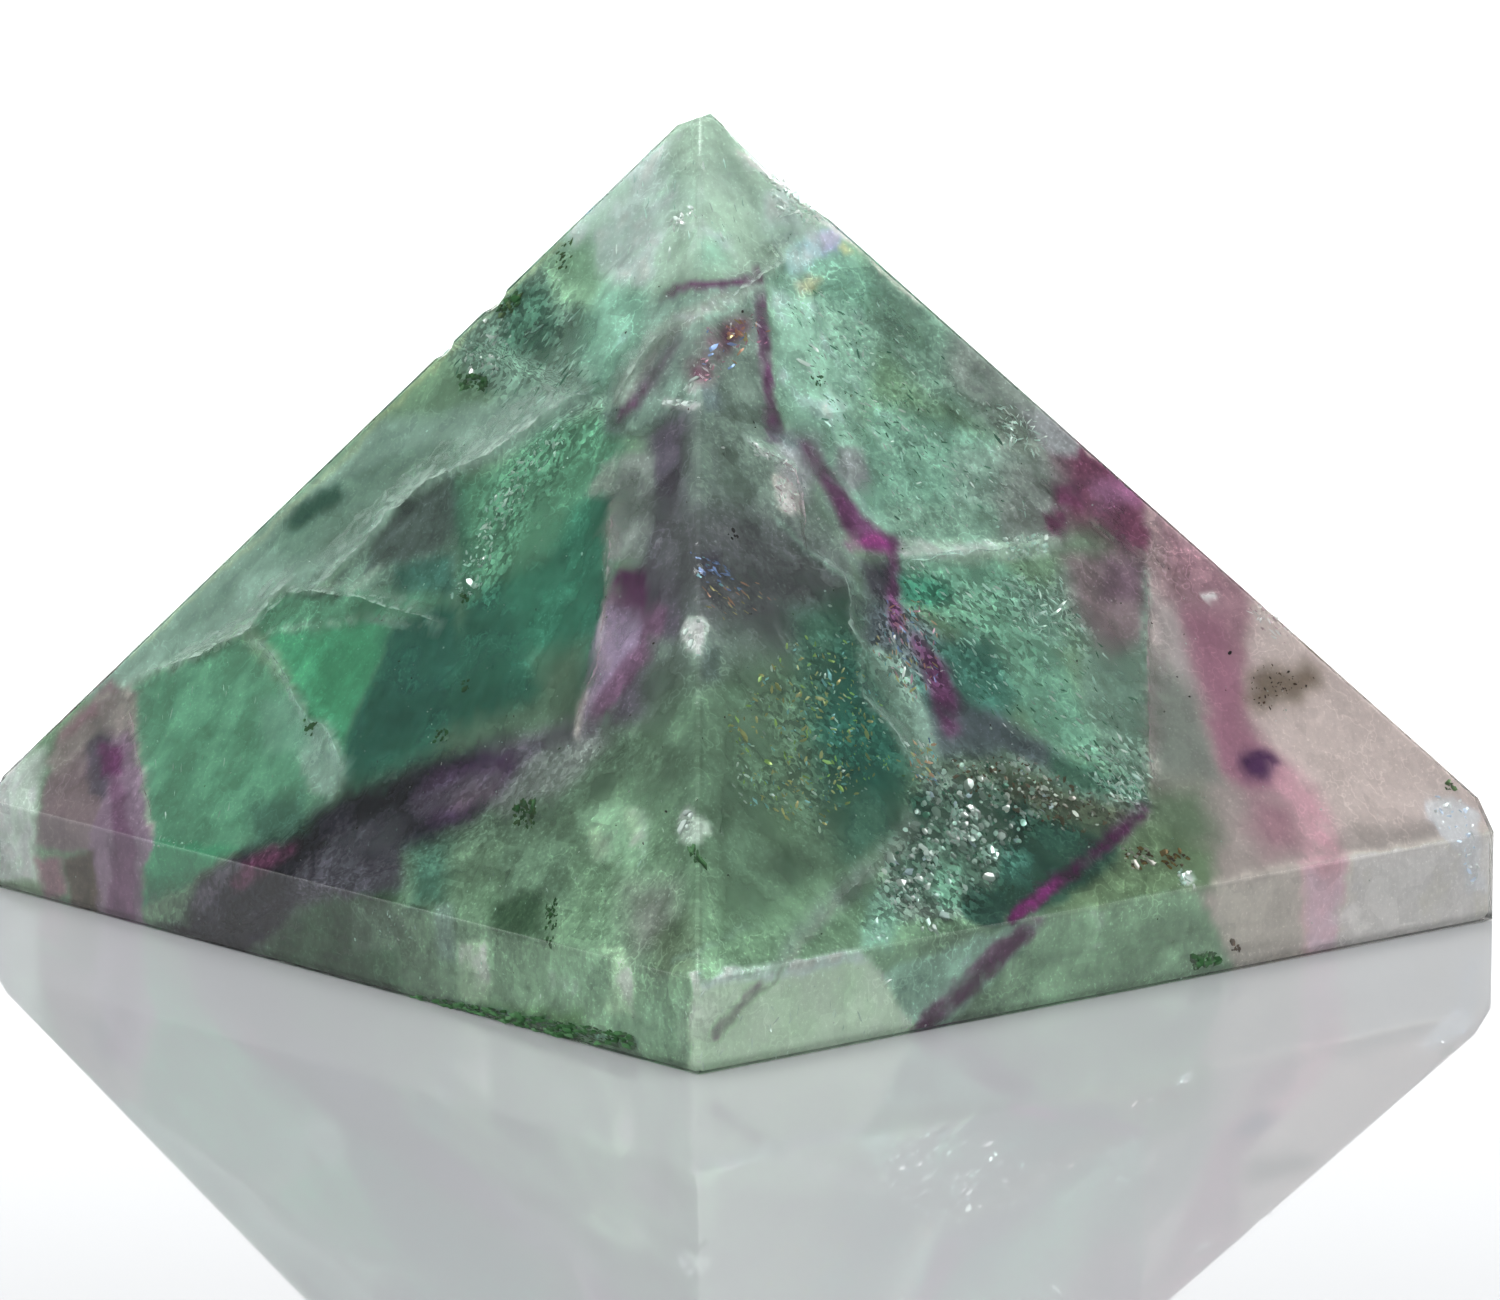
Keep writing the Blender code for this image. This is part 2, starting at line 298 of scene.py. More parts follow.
# name, stone, softness of the edge | outline; wide zones first, what lies over them after. Two rows are
# painted light and shade, not stone: a highlight along the top of the front skirt, and shade just below the
# veil.
ZONES = table("""
tip mint 50 | 696,40 500,230 556,292 650,300 700,275 770,285 812,262 850,235 870,225
tip_left mist 40 | 545,250 600,240 608,292 560,302
wave_grey dust 24 | 645,302 690,300 652,345 630,385 612,402 616,360
tip_frost frost 70 | 640,120 550,210 560,285 650,290 670,220 700,200
under_tip mist 30 | 640,300 760,275 770,420 690,420 610,430 600,400
upper_left_grey sage 36 | 430,330 560,230 600,290 590,400 540,440 450,360
pale_column sea 30 | 592,283 650,290 640,340 612,385 590,400 572,352
right_shoulder aqua 40 | 764,280 830,230 880,330 860,420 910,480 870,545 790,430 775,380
right_edge_grey sage 40 | 860,240 900,260 1080,410 1040,450 930,400 870,340
tip_shoulder willow 30 | 545,262 590,240 602,290 588,312 556,300
tip_right sea 30 | 800,255 840,238 880,290 850,310 805,295
upper_left_dark pine 40 | 500,290 545,280 560,330 545,360 500,350
right_edge_smoke pewter 40 | 950,320 1080,420 1040,445 990,430 950,380
right_upper sea 40 | 870,400 1000,440 1040,455 1000,540 900,550 860,500
right_upper_grey mist 36 | 950,450 1040,440 1060,520 1000,540 950,520
dark_pocket pewter 60 | 1020,470 1065,490 1060,530 1000,538 975,520 1000,490
above_shelf sage 24 | 880,505 1000,505 1000,536 900,542
bright_shelf mint 8 | 900,545 1000,541 1040,536 1066,530 1062,545 1015,558 950,568 905,562
under_shelf jade 30 | 900,560 1000,560 1040,590 1060,640 990,610 900,600
middle_light sea 24 | 1000,580 1060,590 1070,650 1010,655
maroon_corner maroon 70 | 1035,430 1100,420 1170,500 1180,560 1140,565 1120,552 1090,525 1060,528
    1040,480
maroon_haze pewter 60 | 1000,462 1046,446 1064,480 1062,540 1008,540
scribble_field flint 20 | 998,400 1046,424 1042,456 1000,452
maroon_spot wine 14 | 1043,512 1066,512 1066,534 1044,534
purple_triangle wine 12 | 1116,532 1148,538 1147,572 1120,562
maroon_low grape 50 | 1070,560 1146,566 1146,630 1100,640 1060,600
pink_crest orchid_dark 30 | 1090,480 1127,478 1140,505 1098,508
grey_under_maroon sage 30 | 1060,565 1145,565 1145,660 1080,640 1040,600
right_middle jade 30 | 940,605 1000,610 1060,650 1080,700 1115,770 1050,745 1000,690 960,650
right_middle_grey sage 30 | 1080,640 1145,660 1150,790 1110,770 1080,700
right_ground beige 24 | 1147,500 1200,540 1520,790 1520,940 1214,960 1150,800
mauve_smoke dust 50 | 1060,555 1146,545 1147,640 1110,655 1075,610
rose_panel rose 60 | 1150,500 1200,540 1262,600 1262,730 1215,715 1165,610
pale_streak fog 34 | 1152,590 1178,605 1206,700 1160,700
mauve_pocket dusk 60 | 1183,610 1222,620 1252,690 1248,740 1222,740 1198,690
ash_panel ash 50 | 1146,650 1200,700 1232,790 1150,790
beige_corner beige 34 | 1250,570 1340,640 1520,790 1520,940 1330,955 1318,860 1296,775 1250,715
taupe_foot taupe 40 | 1330,820 1440,820 1450,850 1320,868
brown_grain peat 34 | 1246,702 1256,690 1252,675 1268,665 1290,669 1300,660 1320,669 1322,682 1308,690
    1300,702 1280,698 1266,714
taupe_slope taupe 70 | 1150,785 1240,785 1300,800 1312,862 1216,884 1150,880
hay_slope hay 60 | 1146,788 1200,786 1218,840 1160,852 1138,815
green_foot olive 34 | 1095,850 1150,818 1210,850 1215,886 1100,910 1050,912
pink_halo dusk 30 | 1206,716 1240,720 1264,738 1292,772 1286,792 1250,790 1222,770
vein_side rose 80 | 1250,790 1300,800 1310,850 1270,855 1250,830
plum_blob bruise 16 | 1240,754 1262,747 1281,762 1270,782 1250,776
beside_ridge steel 30 | 860,600 900,600 960,650 1010,700 1000,760 900,760 870,690
trough_teal kelp 34 | 905,690 930,640 990,640 1020,700 1000,725 930,715
dark_trough storm_blue 24 | 930,690 1000,715 1060,750 1100,790 1142,812 1060,790 1000,750 950,740
grey_heart smoke 30 | 690,400 765,330 772,440 820,500 852,560 850,650 780,665 690,700 685,560
plum_column plum 46 | 640,430 690,400 690,700 640,725 600,745 636,600 650,500
ridge_light mist 14 | 775,455 800,468 822,500 862,575 858,620 872,690 905,745 945,805 930,720 893,640
    895,565 850,560 830,500
veil mist 26 | 380,420 450,410 560,388 605,398 560,430 500,460 456,476 402,502 372,547 312,592 282,590
    252,622 126,690 60,700
veil_shade sage 24 | 330,480 400,450 450,440 470,462 400,490 350,540 300,560 262,545
fold_foot sage 20 | 340,575 372,547 462,520 452,590 330,594
dark_fold graphite 12 | 372,547 402,502 456,476 463,522 440,548 400,562 362,576
leaf_strip leaf 16 | 286,592 450,592 455,616 262,636 250,622
emerald_pool emerald 10 | 262,634 392,622 372,680 352,720 340,768 322,740 300,700 286,660
teal_pool teal 12 | 392,622 456,600 462,700 440,745 350,782 340,768 352,720 372,680
pine_field lagoon 34 | 456,480 560,500 616,490 610,600 600,760 500,780 400,800 340,806 345,770 440,720
    460,600
viridian_field viridian 60 | 500,480 606,440 604,600 585,680 535,690 505,580
field_foot thicket 50 | 535,660 585,640 580,720 540,730
leaf_field leaf 40 | 463,480 500,466 540,430 600,410 620,440 612,480 580,505 545,560 470,590 463,520
panel_light sea 30 | 240,690 300,700 305,760 250,750
panel_foot teal 24 | 235,850 300,792 335,800 330,812 250,866
belt_rim thicket 34 | 440,735 540,700 590,690 580,728 500,742 440,762
fold_dark kelp 24 | 396,566 450,552 458,592 392,594
lilac_top pewter 14 | 616,452 652,452 652,540 640,562 608,558 611,500
mauve_wedge mauve 8 | 609,586 668,605 655,660 610,710 584,742 572,738 590,660
lilac_wedge orchid 12 | 606,600 640,610 640,640 606,680 590,715 580,736 574,736 590,660
magenta_spot damson 6 | 611,572 648,567 651,582 628,588 613,586
left_panel leaf 10 | 126,690 240,640 288,690 312,740 302,790 330,802 250,842 165,890 150,832
cloud_patch mist 10 | 306,722 334,730 346,768 332,800 304,786 296,745
emerald_foot emerald 16 | 152,838 240,848 175,890 142,905
belt_shade thicket 70 | 165,900 330,800 520,730 640,730 640,800 520,860 400,900 262,970 146,960
purple_belt dregs 34 | 186,925 190,885 240,850 320,806 400,775 470,748 520,730 545,745 510,778 480,812
    440,838 425,862 400,882 370,902 320,898 300,908 262,945 240,960 150,960 150,925
belt_plum pewter 40 | 480,752 560,722 600,722 610,745 571,785 505,815 480,800
belt_columns graphite 40 | 330,872 437,852 440,905 330,930
belt_dark ink 14 | 250,862 322,815 316,880 254,910 244,970 212,945
belt_dark_middle ink 30 | 340,800 430,762 490,750 500,790 430,812 350,830
block_grey slate 40 | 300,868 345,830 405,812 408,880 350,915 300,905
block_foot fen 24 | 318,900 412,890 425,965 400,1000 280,985 246,965
block_light thicket 20 | 350,905 410,900 415,945 352,948
low_front lichen 30 | 400,855 520,840 600,800 650,760 690,800 692,985 696,1090 500,1040 405,995
low_light sap 60 | 440,930 500,960 560,960 640,860 690,900 640,960 640,1050 440,1000
low_grey thicket 40 | 490,850 520,836 575,822 570,905 500,905
low_grey_left lichen 30 | 445,862 495,846 500,905 445,905
low_shade pine 50 | 405,850 448,840 446,905 410,908
low_smoke fen 30 | 491,903 520,893 542,897 541,935 520,942 493,936
low_column thicket 10 | 513,824 533,824 530,868 517,878
low_moss ash 80 | 622,885 676,880 680,950 628,955
low_olive hay 40 | 652,935 690,905 698,975 655,975
low_corner willow 30 | 600,1000 690,1000 692,1052 640,1040 600,1028
low_pale celadon 14 | 458,943 488,940 492,985 488,1004 462,1000
low_pale_high mist 14 | 436,905 456,903 458,960 440,962
mint_chip celadon 14 | 602,950 620,945 636,985 632,1020 606,1012
low_willow willow 30 | 550,955 612,955 612,1000 555,1000
low_leaf clover 30 | 470,1004 580,1010 580,1040 470,1020
column_foot smoke 40 | 652,640 700,640 700,715 645,720
drop_shade slate 24 | 860,560 902,560 902,600 868,602
heart thicket 120 | 660,690 760,660 852,650 880,700 930,780 905,845 830,890 760,910 690,850 640,770
dark_heart stormy 100 | 655,505 740,505 800,525 850,565 862,640 840,660 760,640 700,620 660,570
heart_shadow pine 60 | 790,610 850,590 880,690 915,760 905,840 850,870 820,800 800,700
teal_heart teal 60 | 840,640 870,690 905,750 890,800 850,790 820,740
smoky_lens smoke 18 | 935,765 1020,758 1140,815 1090,850 1010,915 900,925 870,900 900,830
teal_lens mire 20 | 1005,812 1060,806 1130,822 1116,858 1080,892 1015,920 978,905 1000,860
moss_rim hay 24 | 940,765 1010,760 1130,812 1100,832 1000,800
lens_apron sea 24 | 850,900 892,885 900,925 890,950 860,950
front_wedge lichen 20 | 700,950 800,890 880,850 900,850 868,905 862,955 690,985
left_tip pearl 24 | -80,800 48,745 38,790 34,850 42,882 0,900 -80,910
left_tip_moss moss 10 | -80,882 40,880 46,905 0,910 -80,915
left_smoke dust 14 | 46,780 86,726 102,800 96,850 60,852 34,842
left_pink_edge rose 20 | 60,735 108,680 128,690 110,706 86,730 56,770
left_lilac lilac 8 | 100,700 128,690 136,760 150,822 157,834 142,880 146,945 96,925 88,850 100,800
left_plum plum 14 | 86,720 106,712 112,760 104,800 88,795
left_mauve mauve 12 | 106,770 120,780 138,850 136,945 104,930 116,840
left_pink_foot rose 16 | 34,856 58,860 64,895 44,898
left_brown brown 14 | 60,860 92,850 102,925 70,910
skirt_taupe oat 40 | 1214,882 1312,862 1318,960 1232,975 1210,930
skirt_pink pink 26 | 1304,862 1346,856 1340,960 1308,955
skirt_beige shell 26 | 1346,856 1520,820 1520,930 1340,960
skirt_green sap 20 | 1030,922 1198,888 1214,930 1236,975 1000,1025 1005,952
skirt_grey aqua 14 | 880,975 950,950 1020,922 1046,918 985,985 925,1045 900,1005
skirt_front celadon 8 | 688,975 740,970 868,955 884,975 902,1010 922,1045 690,1095
skirt_front_rim frost 10 | 688,975 864,950 872,962 700,992
corner_frost snow 14 | 1428,800 1452,796 1480,812 1486,890 1470,886 1463,852 1446,834 1430,820
glow_cyan cyan 18 | 786,262 796,244 818,240 824,250 806,268 792,276
glow_sky sky 12 | 800,246 812,236 824,240 822,258 808,262
glow_violet violet 12 | 818,240 830,226 842,236 834,252 822,256
glow_straw straw 10 | 792,286 806,278 822,282 812,292 800,296
glow_straw_high straw 6 | 836,246 846,242 852,250 842,256
heart_flake pearl 8 | 682,630 690,618 704,616 712,624 706,636 702,652 690,650
low_flake pearl 7 | 675,828 683,807 700,812 713,823 700,842 685,842
pale_square willow 14 | 582,812 612,806 647,808 646,846 628,866 590,862
pale_square_edge celadon 8 | 628,810 643,811 643,843 629,845
pale_square_side celadon 12 | 588,832 602,828 608,850 596,862
pink_patch shell 8 | 772,478 788,474 801,492 796,512 786,516 778,500
pale_triangle flint 6 | 588,492 600,466 614,450 614,493
crack_haze dove 34 | 778,430 818,436 822,468 806,500 778,474
smear chalk 4 | 657,398 698,400 690,407 662,406
smear_tip frost 4 | 684,388 692,374 698,378 692,392
shoulder_spot shell 4 | 846,466 851,450 857,456 855,470
rose_spot chalk 3 | 1199,597 1212,593 1215,600 1204,603
foot_spot frost 4 | 1180,875 1190,869 1195,879 1186,885
lens_top_strip taupe_moss 14 | 955,790 1010,782 1080,792 1138,812 1110,822 1040,806 965,806
lens_dark spangle 20 | 945,790 1000,780 1020,820 990,900 940,908 885,900 905,850
lens_pit_a abyss 8 | 1006,806 1030,804 1028,830 1008,828
lens_pit_b abyss 10 | 1038,826 1082,826 1074,846 1040,846
lens_pit_c abyss 8 | 1036,856 1062,856 1056,874 1038,874
lens_pit_d abyss 10 | 972,888 1010,892 1008,924 976,926 960,912
lens_pit_e abyss 8 | 1000,840 1012,846 1010,872 1000,866
teal_glint_field jade 16 | 1092,775 1140,778 1148,806 1100,800
shelf_body mint 6 | 903,541 1005,541 1060,533 1047,557 1000,560 960,561 905,554
shelf_shade viridian 24 | 896,574 950,580 955,604 905,604
tail_shadow storm_blue 24 | 862,604 890,600 905,640 890,655 866,648
foot_shade pine 24 | 1050,752 1100,765 1128,795 1080,792 1050,775
claret_foot grape 30 | 1105,556 1142,560 1140,602 1100,600
corner_dust taupe 16 | 95,694 126,686 136,694 138,730 98,735
vein_light jade 30 | 258,700 298,695 308,750 264,752
panel_shade pine 40 | 250,802 302,792 305,828 255,852
wave flint 8 | 762,276 745,298 715,314 690,325 668,344 645,374 630,404 610,406 622,374 640,346 662,322
    690,306 725,293
zigzag_mist dove 16 | 838,446 864,448 872,478 852,492 836,470
lens_mid kelp 14 | 1000,850 1036,852 1030,888 1000,880
belt_blotch bruise 50 | 419,800 440,772 500,748 530,742 520,770 470,815 430,820
lilac_mid purple 14 | 624,580 650,578 648,600 626,602
veil_hollow mire 20 | 284,520 300,500 335,478 345,494 312,520 290,534
scribble_light dove 20 | 1022,404 1048,414 1078,440 1074,456 1050,452 1028,430
wave_foot graphite 14 | 598,408 626,406 628,430 604,436
left_edge_pale taupe 16 | 44,762 66,738 90,716 98,728 78,750 58,774
left_plum_low purple 12 | 98,742 120,744 122,775 100,775
lens_edge_dark mire 10 | 912,794 934,790 936,818 916,820
lens_shine jade 10 | 936,868 962,866 962,910 938,912
lens_tip_dark taupe_moss 10 | 1104,794 1130,800 1130,816 1106,812
ridge_side graphite 14 | 702,645 722,645 722,680 702,680
ridge_dark slate 12 | 702,552 722,552 722,578 702,578
mast_side steel 14 | 700,384 722,384 720,410 700,410
tip_dip aqua 50 | 698,238 724,238 726,268 698,268
rim_shade sap 12 | 694,960 724,958 724,978 696,986
heart_low lichen 50 | 768,815 795,815 795,842 770,842
maroon_deep wine 20 | 1054,480 1082,480 1084,505 1056,508
maroon_edge maroon 14 | 1128,528 1152,530 1150,552 1128,552
belt_bloom grape 30 | 436,800 470,778 500,772 494,792 462,808
tip_side frost 24 | 760,190 786,188 812,235 780,248 762,232
""")
# name, stone, softness | line of u,v,half width
BANDS = table("""
tip_band purple 6 | 661,298,2 676,289,4 690,286,4 720,284,5 750,278,4
tip_haze maroon 26 | 700,370,14 715,345,16 745,322,8
mast purple 5 | 757,268,4 759,300,6 764,350,6.5 769,395,7 775,436,7.5
mast_foot_haze purple 10 | 622,414,3 634,402,6 644,388,3
mast_foot_glow mauve 30 | 648,384,6 664,356,6 676,340,3
zigzag_start_haze steel 20 | 776,436,6 806,446,9
zigzag_high mauve 12 | 806,446,7 822,470,8 836,492,9 846,510,8
zigzag purple 9 | 826,478,3 838,494,6 850,520,12 872,539,14 896,544,8
hot_pink fuchsia 3 | 865,541,2.5 877,537,2.5
zigzag_glow magenta 8 | 850,545,5 870,540,7 890,548,6
zigzag_drop purple 6 | 894,552,5 893,600,5 898,625,6
zigzag_tail purple 14 | 915,640,6 935,670,13 945,700,14 950,730,8
lens_point_haze mauve 8 | 1142,810,7 1120,830,9 1108,842,6
lens_point damson 5 | 1142,812,3 1118,834,6 1090,858,7 1060,882,7 1036,902,7 1012,919,6
lens_glow magenta 6 | 1058,882,2 1046,892,6 1024,910,7 1014,917,3
skirt_band_haze mauve 8 | 1036,922,7 1000,952,11 960,988,9 935,1013,9 915,1034,5
skirt_band damson 9 | 1030,932,5 1005,952,8 975,985,7 940,1015,9 912,1036,5
skirt_thread mauve 10 | 760,985,3 735,1010,5 715,1035,5
ridge_shadow smoke 18 | 905,838,10 860,878,12 800,935,8 780,965,4
belt_wine wine 14 | 240,880,9 265,858,10 290,848,5
belt_mauve plum 30 | 425,805,8 455,792,13 490,780,10
belt_blotch_c plum 16 | 520,752,8 556,738,10 590,730,8
belt_blotch_e plum 14 | 196,905,6 214,885,8 232,866,6
pink_vein blush 26 | 1290,775,8 1306,800,12 1322,835,14 1324,862,14
pink_vein_top blush 16 | 1276,772,6 1288,790,8
panel_line aqua 8 | 1147,570,1 1144,700,2 1146,790,1
""")

# name, grain, strength, softness | outline; grain 0 falls to the right, 1 to the left, 2 stands
GRAINS = table("""
right_slope 0 0.3 60 | 800,280 880,280 1240,580 1480,800 1480,940 1000,960 860,560
right_streaks 0 0.35 40 | 900,570 1060,580 1140,700 1120,790 960,700
veil_folds 1 1 30 | 430,330 600,400 456,476 372,547 252,622 110,700 100,640
belt 1 0.4 30 | 150,900 330,800 600,720 640,750 440,850 160,960
left_panel 2 0.8 30 | 126,690 240,640 330,720 345,800 250,850 150,900
left_corner 2 0.5 20 | 0,700 126,680 150,940 0,900
column 2 0.6 30 | 600,430 690,420 690,700 570,750
low_left 2 0.4 40 | 240,900 400,860 560,860 560,1020 400,1000
""")
# name, how clear, softness | outline; where the cloud is thin and the eye goes deeper
CLEAR = table("""
heart 0.25 60 | 700,560 850,560 940,790 850,900 690,880
lens 0.3 30 | 870,760 1040,760 1130,810 1000,930 850,920
teal_pool 0.35 40 | 340,600 620,480 600,720 340,790
right_middle 0.3 40 | 960,600 1140,600 1140,780 1000,720
""")
# name, how calm, softness | outline; where the stone is even and fine grained
CALM = table("""
tip 0.45 60 | 696,60 530,230 560,300 640,320 760,262 790,240 880,240
beige 0.8 50 | 1160,590 1262,580 1520,790 1520,940 1214,960 1150,800
left_panel 0.5 20 | 126,690 240,640 330,720 345,800 250,850 150,900
left_corner 0.5 20 | -80,700 126,680 150,940 -80,900
emerald 0.5 20 | 262,634 402,622 380,690 345,772 300,700
veil 0.5 30 | 430,330 600,400 456,476 372,547 252,622 110,700 100,640
skirt_front 0.85 10 | 690,985 870,955 920,1045 690,1095
""")
# name, strength, softness | outline; where the stone is broken into glittering facets, painted as light and
# dark cells
MOSAIC = table("""
lens 0.6 26 | 925,765 1020,755 1060,800 1030,850 970,925 865,925 880,865
lens_top 0.45 16 | 945,755 1020,753 1140,812 1080,838 960,800
right_ticks 0.5 50 | 900,570 1050,575 1110,650 1000,690 900,625
right_low 0.1 40 | 960,640 1140,640 1140,780 1040,740
shoulder 0.15 60 | 800,270 880,265 1010,400 1060,520 900,545 860,430
heart_gold 0.4 90 | 735,720 790,650 850,620 885,700 905,760 820,830 745,800
ridge 0.6 20 | 880,590 930,598 950,690 905,705 868,650
foot_ticks 0.6 24 | 1070,740 1150,745 1150,810 1100,800
left_chain 0.5 24 | 448,610 490,480 548,425 606,390 600,440 566,470 500,610
upper_left 0.45 40 | 440,350 550,260 590,330 560,400 470,395
low_front 0.1 80 | 300,900 520,850 690,790 800,930 690,1060 420,990
centre 0.12 70 | 690,380 760,400 850,560 850,640 700,680
maroon 0.1 60 | 960,430 1100,420 1180,560 1060,540
belt 0.25 40 | 150,900 330,800 600,720 680,760 440,870 160,960
""")
# name, rise mm, softness | line of u,v,half width; creases that stand nearer the surface
FOLDS = table("""
veil_low 0.45 16 | 120,683,2 170,665,2 215,647,2 250,628,2 275,592,3 293,577,2 330,572,1
veil_high 0.45 20 | 313,590,2 350,555,3 385,515,3 430,480,3 480,457,2 548,412,2 600,380,1
veil_vein 0.35 12 | 250,640,1 280,665,2 295,700,3 325,725,4 330,790,5
tip_wave 0.35 22 | 620,400,3 650,340,3 700,312,3 760,285,2 800,245,2
crack 0.4 12 | 745,435,2 775,455,4 795,467,4 790,505,12 805,548,3
ridge 0.4 14 | 805,548,2 845,575,3 850,600,3 850,625,3 862,645,3 862,695,3 895,730,3 915,765,3 940,795,3
zigzag 0.3 14 | 800,450,3 838,490,4 850,525,5 880,545,6 893,600,3 930,650,4 965,700,4 1050,755,3
    1140,812,3
lilac_edge 0.35 10 | 612,500,1 605,600,2 590,680,3 575,735,3
shelf 0.35 12 | 900,556,3 980,550,6 1060,538,4
lens_rim 0.35 14 | 905,838,3 860,880,4 800,945,3 740,1010,2
rose_edge 0.3 12 | 1147,540,2 1147,660,3 1150,790,2
belt_edge 0.3 12 | 322,810,2 316,850,3 310,890,2
""")


# how much stronger than its looks a colour has to be in the cloud
PIGMENT_POWER = 0.80
PIGMENT_GAIN = 1.57
PIGMENT_MOST = 0.97


# name, stone, strength, half width | line; thin light creases and cracks, with painted highlights along the
# tops of the skirts and painted rim light along the right and left outlines
CREASES = table("""
veil_low frost 0.9 1.5 | 120,683 140,675 170,665 190,658 215,647 235,638 250,628 262,610 275,592 287,580
    293,577
veil_high frost 0.9 1.5 | 313,590 330,572 350,555 370,535 385,515 400,500 415,490 430,480 450,475
    465,466 480,457 500,445 530,425 548,412
veil_shadow ink 0.6 2 | 318,598 340,580 362,560 384,536 404,514 440,492
dark_line ink 0.7 2 | 285,592 310,597 340,597
white_line frost 0.8 1.2 | 270,632 300,625 350,622 440,622
vein frost 0.8 1.6 | 250,640 270,650 280,665 288,680 295,700 310,720 325,725 338,750 344,780
leaf_streak mint 0.7 2.5 | 350,594 365,580 380,566
tip_wave frost 0.55 3.2 | 620,400 636,366 650,340 670,325 700,312 730,300 760,285
tip_wave_high frost 0.6 1.4 | 770,270 785,258 800,245
left_glint frost 0.7 1.2 | 570,345 580,360 587,378
crack frost 0.9 2.5 | 745,435 760,450 775,455 795,467
ridge_high mist 0.8 2 | 775,520 790,535 805,548 825,560 845,575 855,585 848,600 850,625 862,645 860,670
    862,695
ridge_low mist 0.8 2 | 862,695 880,710 895,730 905,750 915,765 925,780 940,795
shoulder_arc frost 0.5 1.2 | 800,362 830,392 862,420 895,452
crack_low shell 0.8 1.6 | 773,476 777,495 782,512
mast_rim frost 0.5 1 | 750,290 754,340 762,370 764,400
apron_line mist 0.6 1.6 | 673,963 705,948 735,932 762,918
right_crack ink 0.6 1.5 | 990,423 970,428 950,430 930,440
right_crack_low ink 0.6 1.5 | 955,450 975,443 990,440
shelf_light frost 0.6 3 | 905,556 940,552 980,546 1010,548 1045,538
panel_line ink 0.35 2 | 1143,560 1143,660 1145,780
lens_grey ash 0.7 2.5 | 900,850 860,880 840,900 800,945 775,980 740,1010 720,1035
lens_top mist 0.6 2 | 940,797 960,768 1010,762 1060,780 1138,812
skirt_top_right shell 0.35 1 | 1210,882 1310,862 1340,856 1400,850 1450,843
skirt_top_front frost 0.4 1.5 | 690,984 760,974 870,956 890,985 910,1025
lilac_edge shell 0.55 1.6 | 613,500 605,560 605,600 598,650 580,700 575,735
edge_strip shell 0.5 3 | 588,690 580,712 576,735
belt_edge ink 0.6 2 | 322,810 316,850 310,890
corner_edge shell 0.6 1.5 | 125,695 135,740 145,790 155,835
square_edge frost 0.7 1.5 | 640,812 645,840 640,868
base_moss pine 0.9 3.5 | 400,1002 450,1005 540,1022 635,1044
rim_right shell 0.7 2 | 735,150 850,240 1000,368 1200,545 1400,718 1470,782
rim_left straw 0.3 2 | 560,245 500,300 400,400 250,545 130,655
base_brown brown 0.7 1.5 | 240,968 320,985 400,999
""")


def pigment(colour):
    """Colour of the cloud that looks like a colour once it is lit inside the stone."""
    return np.clip(colour ** PIGMENT_POWER * PIGMENT_GAIN, 0, PIGMENT_MOST)


EDGE_SOFTNESS = 0.6
CREASE_SOFTNESS = 5.0
GROUND = "lichen"
STEP_SIZE = 0.45 * MM
STEP_REACH = 2.2
SLOW_WANDER = 4 * MM
QUICK_WANDER = 0.7 * MM
SLOW_BY_DEPTH = 1.2
QUICK_BY_DEPTH = 0.4
DUST_SIZE = 0.9 * MM
DUST_MEAN, DUST_SWING, DUST_LEAST = 0.95, 0.7, 0.4
SLOW_SEEDS, QUICK_SEEDS, DUST_SEED = (3, 8), (5, 9), 51


def wandered(points, wander):
    """Where points are seen, shaken so that zone edges wander as they do in stone."""
    uv, depth = seen_at(points)
    slow = np.stack([noise_field(points, SLOW_WANDER, seed, 2) for seed in SLOW_SEEDS], axis=-1)
    quick = np.stack([noise_field(points, QUICK_WANDER, seed, 3) for seed in QUICK_SEEDS], axis=-1)
    deep = depth[:, None] / MM
    return uv + slow * (wander + deep * SLOW_BY_DEPTH) + quick * (wander + deep * QUICK_BY_DEPTH)


def stepped(points):
    """Shifts that jump from one small cube of stone to the next, as the purple growth bands do."""
    cubes = [noise.cell_vector(Vector(p) / STEP_SIZE) for p in points]
    return (np.array(cubes)[:, :2] - 0.5) * 2 * STEP_REACH


def growth_layers(uv, points):
    """The tone and the strength of each zone, band and crease, in the order in which they lie."""
    for _, tone, soft, outline in ZONES:
        yield tone, area(uv, outline, soft * EDGE_SOFTNESS)
    band_uv = seen_at(points)[0] + stepped(points)
    dust = noise_field(points, DUST_SIZE, DUST_SEED, 4)
    dusty = np.clip(DUST_MEAN + DUST_SWING * dust, DUST_LEAST, 1)
    for _, tone, soft, line in BANDS:
        yield tone, dusty * stroke(band_uv, line, soft)
    for _, tone, strength, half, line in CREASES:
        yield tone, strength * stroke(uv, [(u, v, half) for u, v in line], CREASE_SOFTNESS)


def growth_colour(uv, points):
    """Colour of the stone from the zones and bands that cross it."""
    colour = np.tile(PALETTE[GROUND], (len(uv), 1))
    for tone, mask in growth_layers(uv, points):
        colour += (np.array(PALETTE[tone]) - colour) * mask[:, None]
    return colour


def strongest(uv, rows):
    """The strongest of some soft outlined regions at each point."""
    value = np.zeros(len(uv))
    for _, strength, soft, outline in rows:
        value = np.maximum(value, strength * area(uv, outline, soft))
    return value


LEAST_GRAIN, LEAST_GRAIN_SUM = 0.15, 0.5
FALLS_RIGHT = (0.42, 0.71, -0.57)
FALLS_LEFT = (0.62, 0.37, 0.69)
STANDS = (0.05, -0.05, 1.0)
STREAK_STRETCH = 2.0
PATCH_SIZE, PATCH_STRENGTH, PATCH_SEED = 2.0 * MM, 0.5, 31
STREAK_SIZE, STREAK_STRENGTH, STREAK_SEED = 0.7 * MM, 0.3, 37


